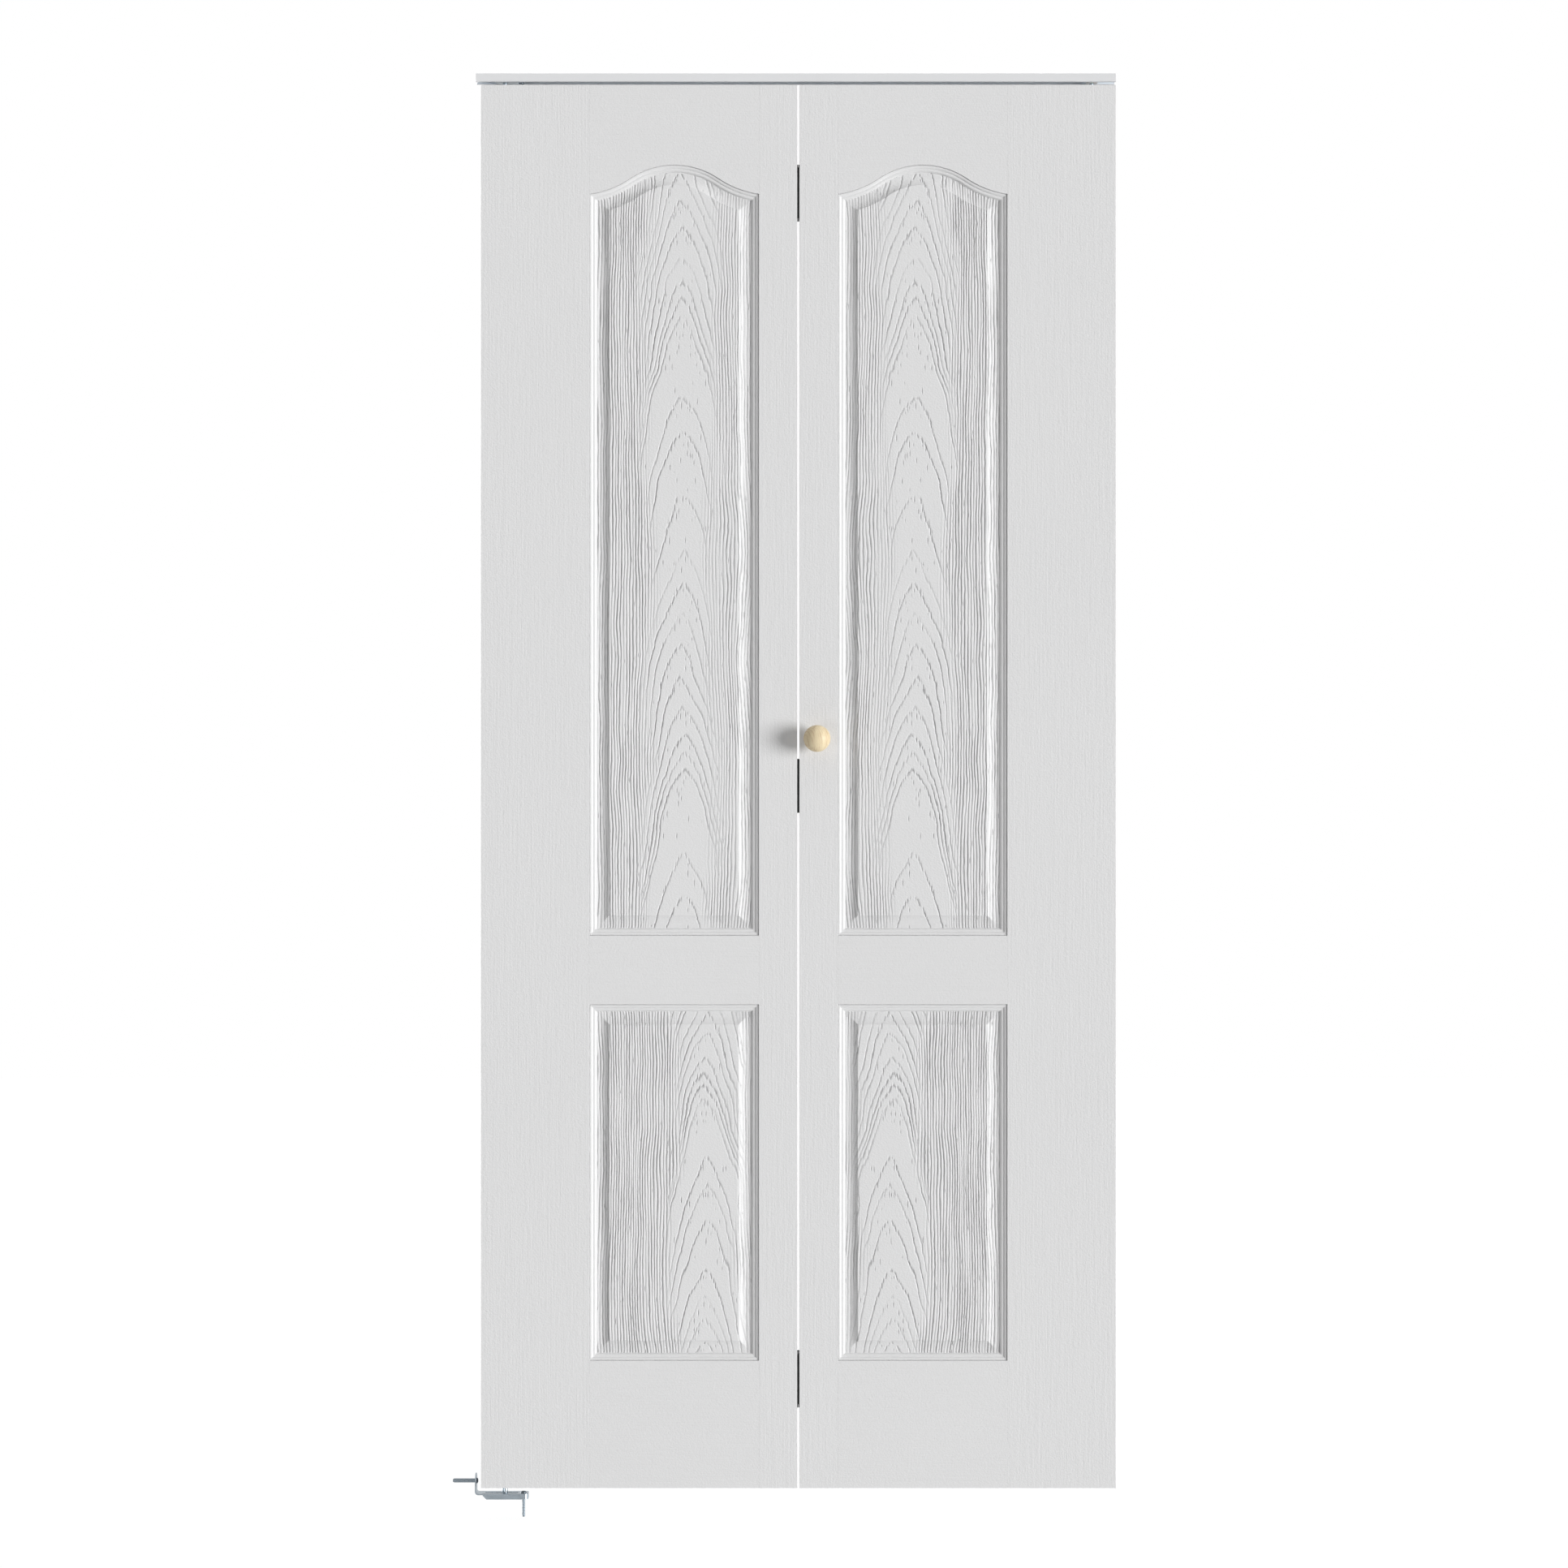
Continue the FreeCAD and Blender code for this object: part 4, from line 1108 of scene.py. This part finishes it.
def knob_rows():
    """(radius, height) of the knob's rings: its bore, its foot, the waist and the ball."""
    foot_radius, foot_height, foot_taper = knob_foot
    neck_radius, neck_height = knob_neck
    bore_radius, bore_depth = knob_bore
    bevel_width, bevel_height = knob_foot_bevel
    waist_start = foot_radius - foot_taper
    rows = [(0.0, bore_depth), (bore_radius, bore_depth), (bore_radius, 0.0), (foot_radius, 0.0)]
    rows += [(foot_radius - bevel_width, foot_height - bevel_height), (waist_start, foot_height)]
    for share in np.linspace(0.0, 1.0, waist_rings)[1:]:
        from_foot = waist_start * (1 - share) * (1 - 2 * share)
        from_neck = neck_radius * share * (2 * share - 1)
        from_waist = knob_waist_radius * 4 * share * (1 - share)
        height = foot_height + (neck_height - foot_height) * share
        rows.append((from_foot + from_neck + from_waist, height))
    centre_height = neck_height + math.sqrt(knob_radius ** 2 - neck_radius ** 2)
    start = -math.acos(neck_radius / knob_radius)
    for turn in np.linspace(start, math.pi / 2, ball_rings)[1:]:
        rise = knob_radius if turn < 0 else knob_front_rise
        rows.append((max(knob_radius * math.cos(turn), 0.0), centre_height + rise * math.sin(turn)))
    return rows


def knob(material):
    """The turned ball on its waisted neck, bored for its screw."""
    low, high = [Vector(v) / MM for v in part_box("knob")]
    radii, heights = round_rings(knob_rows(), 2 * turn_steps)
    base = ((low.x + high.x) / 2, high.y, (low.z + high.z) / 2)
    mesh = turned_mesh("knob_ball", radii, heights, base, (0.0, -1.0, 0.0))
    piece = made_object("knob_ball", mesh, "lead_leaf", material)
    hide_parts("knob")


def dress(nodes, material):
    """Gives CAD nodes a material."""
    for name in nodes:
        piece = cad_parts[name]
        piece.data.materials.clear()
        piece.data.materials.append(material)


def make_camera():
    data = bpy.data.cameras.new("camera")
    data.sensor_width = sensor
    data.lens = sensor * camera_distance / view_width
    data.clip_end = camera_reach * MM
    camera = new_object("camera", data)
    front = Vector(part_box("pivot_leaf_front_skin")[0]).y
    camera.location = (camera_x * MM, front - camera_distance * MM, camera_z * MM)
    camera.rotation_euler = (math.pi / 2, 0.0, 0.0)
    bpy.context.scene.camera = camera


def make_light(name, level, azimuth, elevation, softness):
    """A soft distant light; its azimuth counts from the front towards the right."""
    data = bpy.data.lights.new(name, "SUN")
    data.energy = level * math.pi
    data.angle = math.radians(softness)
    light = new_object(name, data)
    turn = math.radians(azimuth)
    rise = math.radians(elevation)
    level_part = math.cos(rise)
    towards = Vector((math.sin(turn) * level_part, -math.cos(turn) * level_part, math.sin(rise)))
    light.rotation_mode = "QUATERNION"
    light.rotation_quaternion = towards.to_track_quat("Z", "Y")


def make_surround():
    """White to the eye, a darker room in front to metal, and light from above and below."""
    world = bpy.data.worlds.new("studio")
    bpy.context.scene.world = world
    world.use_nodes = True
    nodes = Nodes(world.node_tree)
    direction = nodes.coordinates(nodes.node("TexCoord").outputs["Generated"])
    steep = nodes.math("POWER", direction["Z"], overhead_power)
    given = nodes.math("MULTIPLY", steep, overhead_level)
    to_front = nodes.math("MAXIMUM", nodes.math("MULTIPLY", direction["Y"], -1.0), 0.0)
    shade = nodes.math("MULTIPLY", nodes.math("POWER", to_front, front_shade_power), front_shade)
    rays = nodes.node("LightPath").outputs
    seen = nodes.math("MULTIPLY", rays["Is Glossy Ray"], nodes.math("SUBTRACT", 1.0, shade))
    for name in ("Is Camera Ray", "Is Transmission Ray"):
        seen = nodes.math("MAXIMUM", seen, rays[name])
    background = world.node_tree.nodes["Background"]
    nodes.feed(background.inputs["Color"], (1.0, 1.0, 1.0))
    nodes.feed(background.inputs["Strength"], nodes.math("MAXIMUM", seen, given))


def make_floor():
    """A pale floor just under the floor screw's point, white with the door's faint shadow.

    It holds back no light, so the foot of the door is as bright as the rest.
    """
    mesh = bpy.data.meshes.new("floor")
    reach = floor_reach * MM
    corners = [(-reach, -reach, 0), (reach, -reach, 0), (reach, reach, 0), (-reach, reach, 0)]
    mesh.from_pydata(corners, [], [(0, 1, 2, 3)])
    floor = new_object("floor", mesh)
    floor.location = (camera_x * MM, 0.0, -floor_drop * MM)
    floor.visible_diffuse = False
    floor.visible_glossy = False
    floor.visible_shadow = False
    material = bpy.data.materials.new("floor_white")
    material.use_nodes = True
    tree = material.node_tree
    surface = tree.nodes["Principled BSDF"]
    surface.inputs["Roughness"].default_value = 1.0
    surface.inputs["Specular IOR Level"].default_value = 0.0
    surface.inputs["Base Color"].default_value = (floor_tone, floor_tone, floor_tone, 1.0)
    surface.inputs["Emission Color"].default_value = (1.0, 1.0, 1.0, 1.0)
    surface.inputs["Emission Strength"].default_value = 1.0 - floor_tone / 2
    mesh.materials.append(material)


make_camera()
make_light("key", key_level, key_azimuth, 0.0, key_softness)
make_light("fill", fill_level, fill_azimuth, fill_elevation, fill_softness)
make_light("back", back_level, back_azimuth, 0.0, key_softness)
make_surround()
make_floor()
bpy.context.scene.view_settings.view_transform = "Standard"

pivot_low, pivot_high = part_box("pivot_leaf_front_skin")
hinge_axis = (pivot_high[0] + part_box("lead_leaf_front_skin")[0][0]) / 2
near_seam = hinge_axis - (pivot_high[0] - hinge_face * MM)
far_seam = hinge_axis - (pivot_low[0] + outer_face * MM)

skins(flat_primer(hinge_axis, near_seam, far_seam), panel_primer())

hinges = [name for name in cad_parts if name.startswith("hinge_")]
dress(hinges + ["pivot_leaf_hinge_screws", "lead_leaf_hinge_screws"], hinge_near_black())
track_low, track_high = [Vector(v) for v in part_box("track")]
dress(["track"], enamelled_track(track_low, track_high))
sheet_steel = plated_steel("zinc_sheet", zinc_shades, (0.24, 0.42))
turned_steel = plated_steel("zinc_turned", zinc_shades, (0.12, 0.22))
screw_steel = plated_steel("zinc_screw", screw_shades, (0.3, 0.42))
dress(["top_pivot_bracket", "floor_bracket"], sheet_steel)
dress(["bottom_pivot_pin", "top_pivot_pin", "guide_pin", "top_bracket_screw"], turned_steel)
spring("top_pivot_spring", "pivot_leaf", turned_steel)
spring("guide_spring", "lead_leaf", turned_steel)
screw("jamb_screw", "root", (-1.0, 0.0, 0.0), screw_steel)
screw("floor_screw", "root", (0.0, 0.0, -1.0), screw_steel)
screw("knob_screw", "lead_leaf", (0.0, -1.0, 0.0), turned_steel)
knob(turned_pine())
dress(["guide_wheel"], nylon("wheel_nylon", wheel_white, 0.4))
sleeves = ["top_pivot_sleeve", "bottom_pivot_sleeve", "guide_sleeve"]
dress(sleeves, nylon("sleeve_nylon", sleeve_white, 0.5))
leaves = ("pivot_leaf_", "lead_leaf_")
dress([leaf + side for leaf in leaves for side in ("outer_stile", "hinge_stile")], primed_edge())
rails = [leaf + side for leaf in leaves for side in ("top_rail", "bottom_rail")]
dress(rails, rail_wood(pivot_low[2], pivot_high[2]))
dress([leaf + "core" for leaf in leaves], kraft_paper())
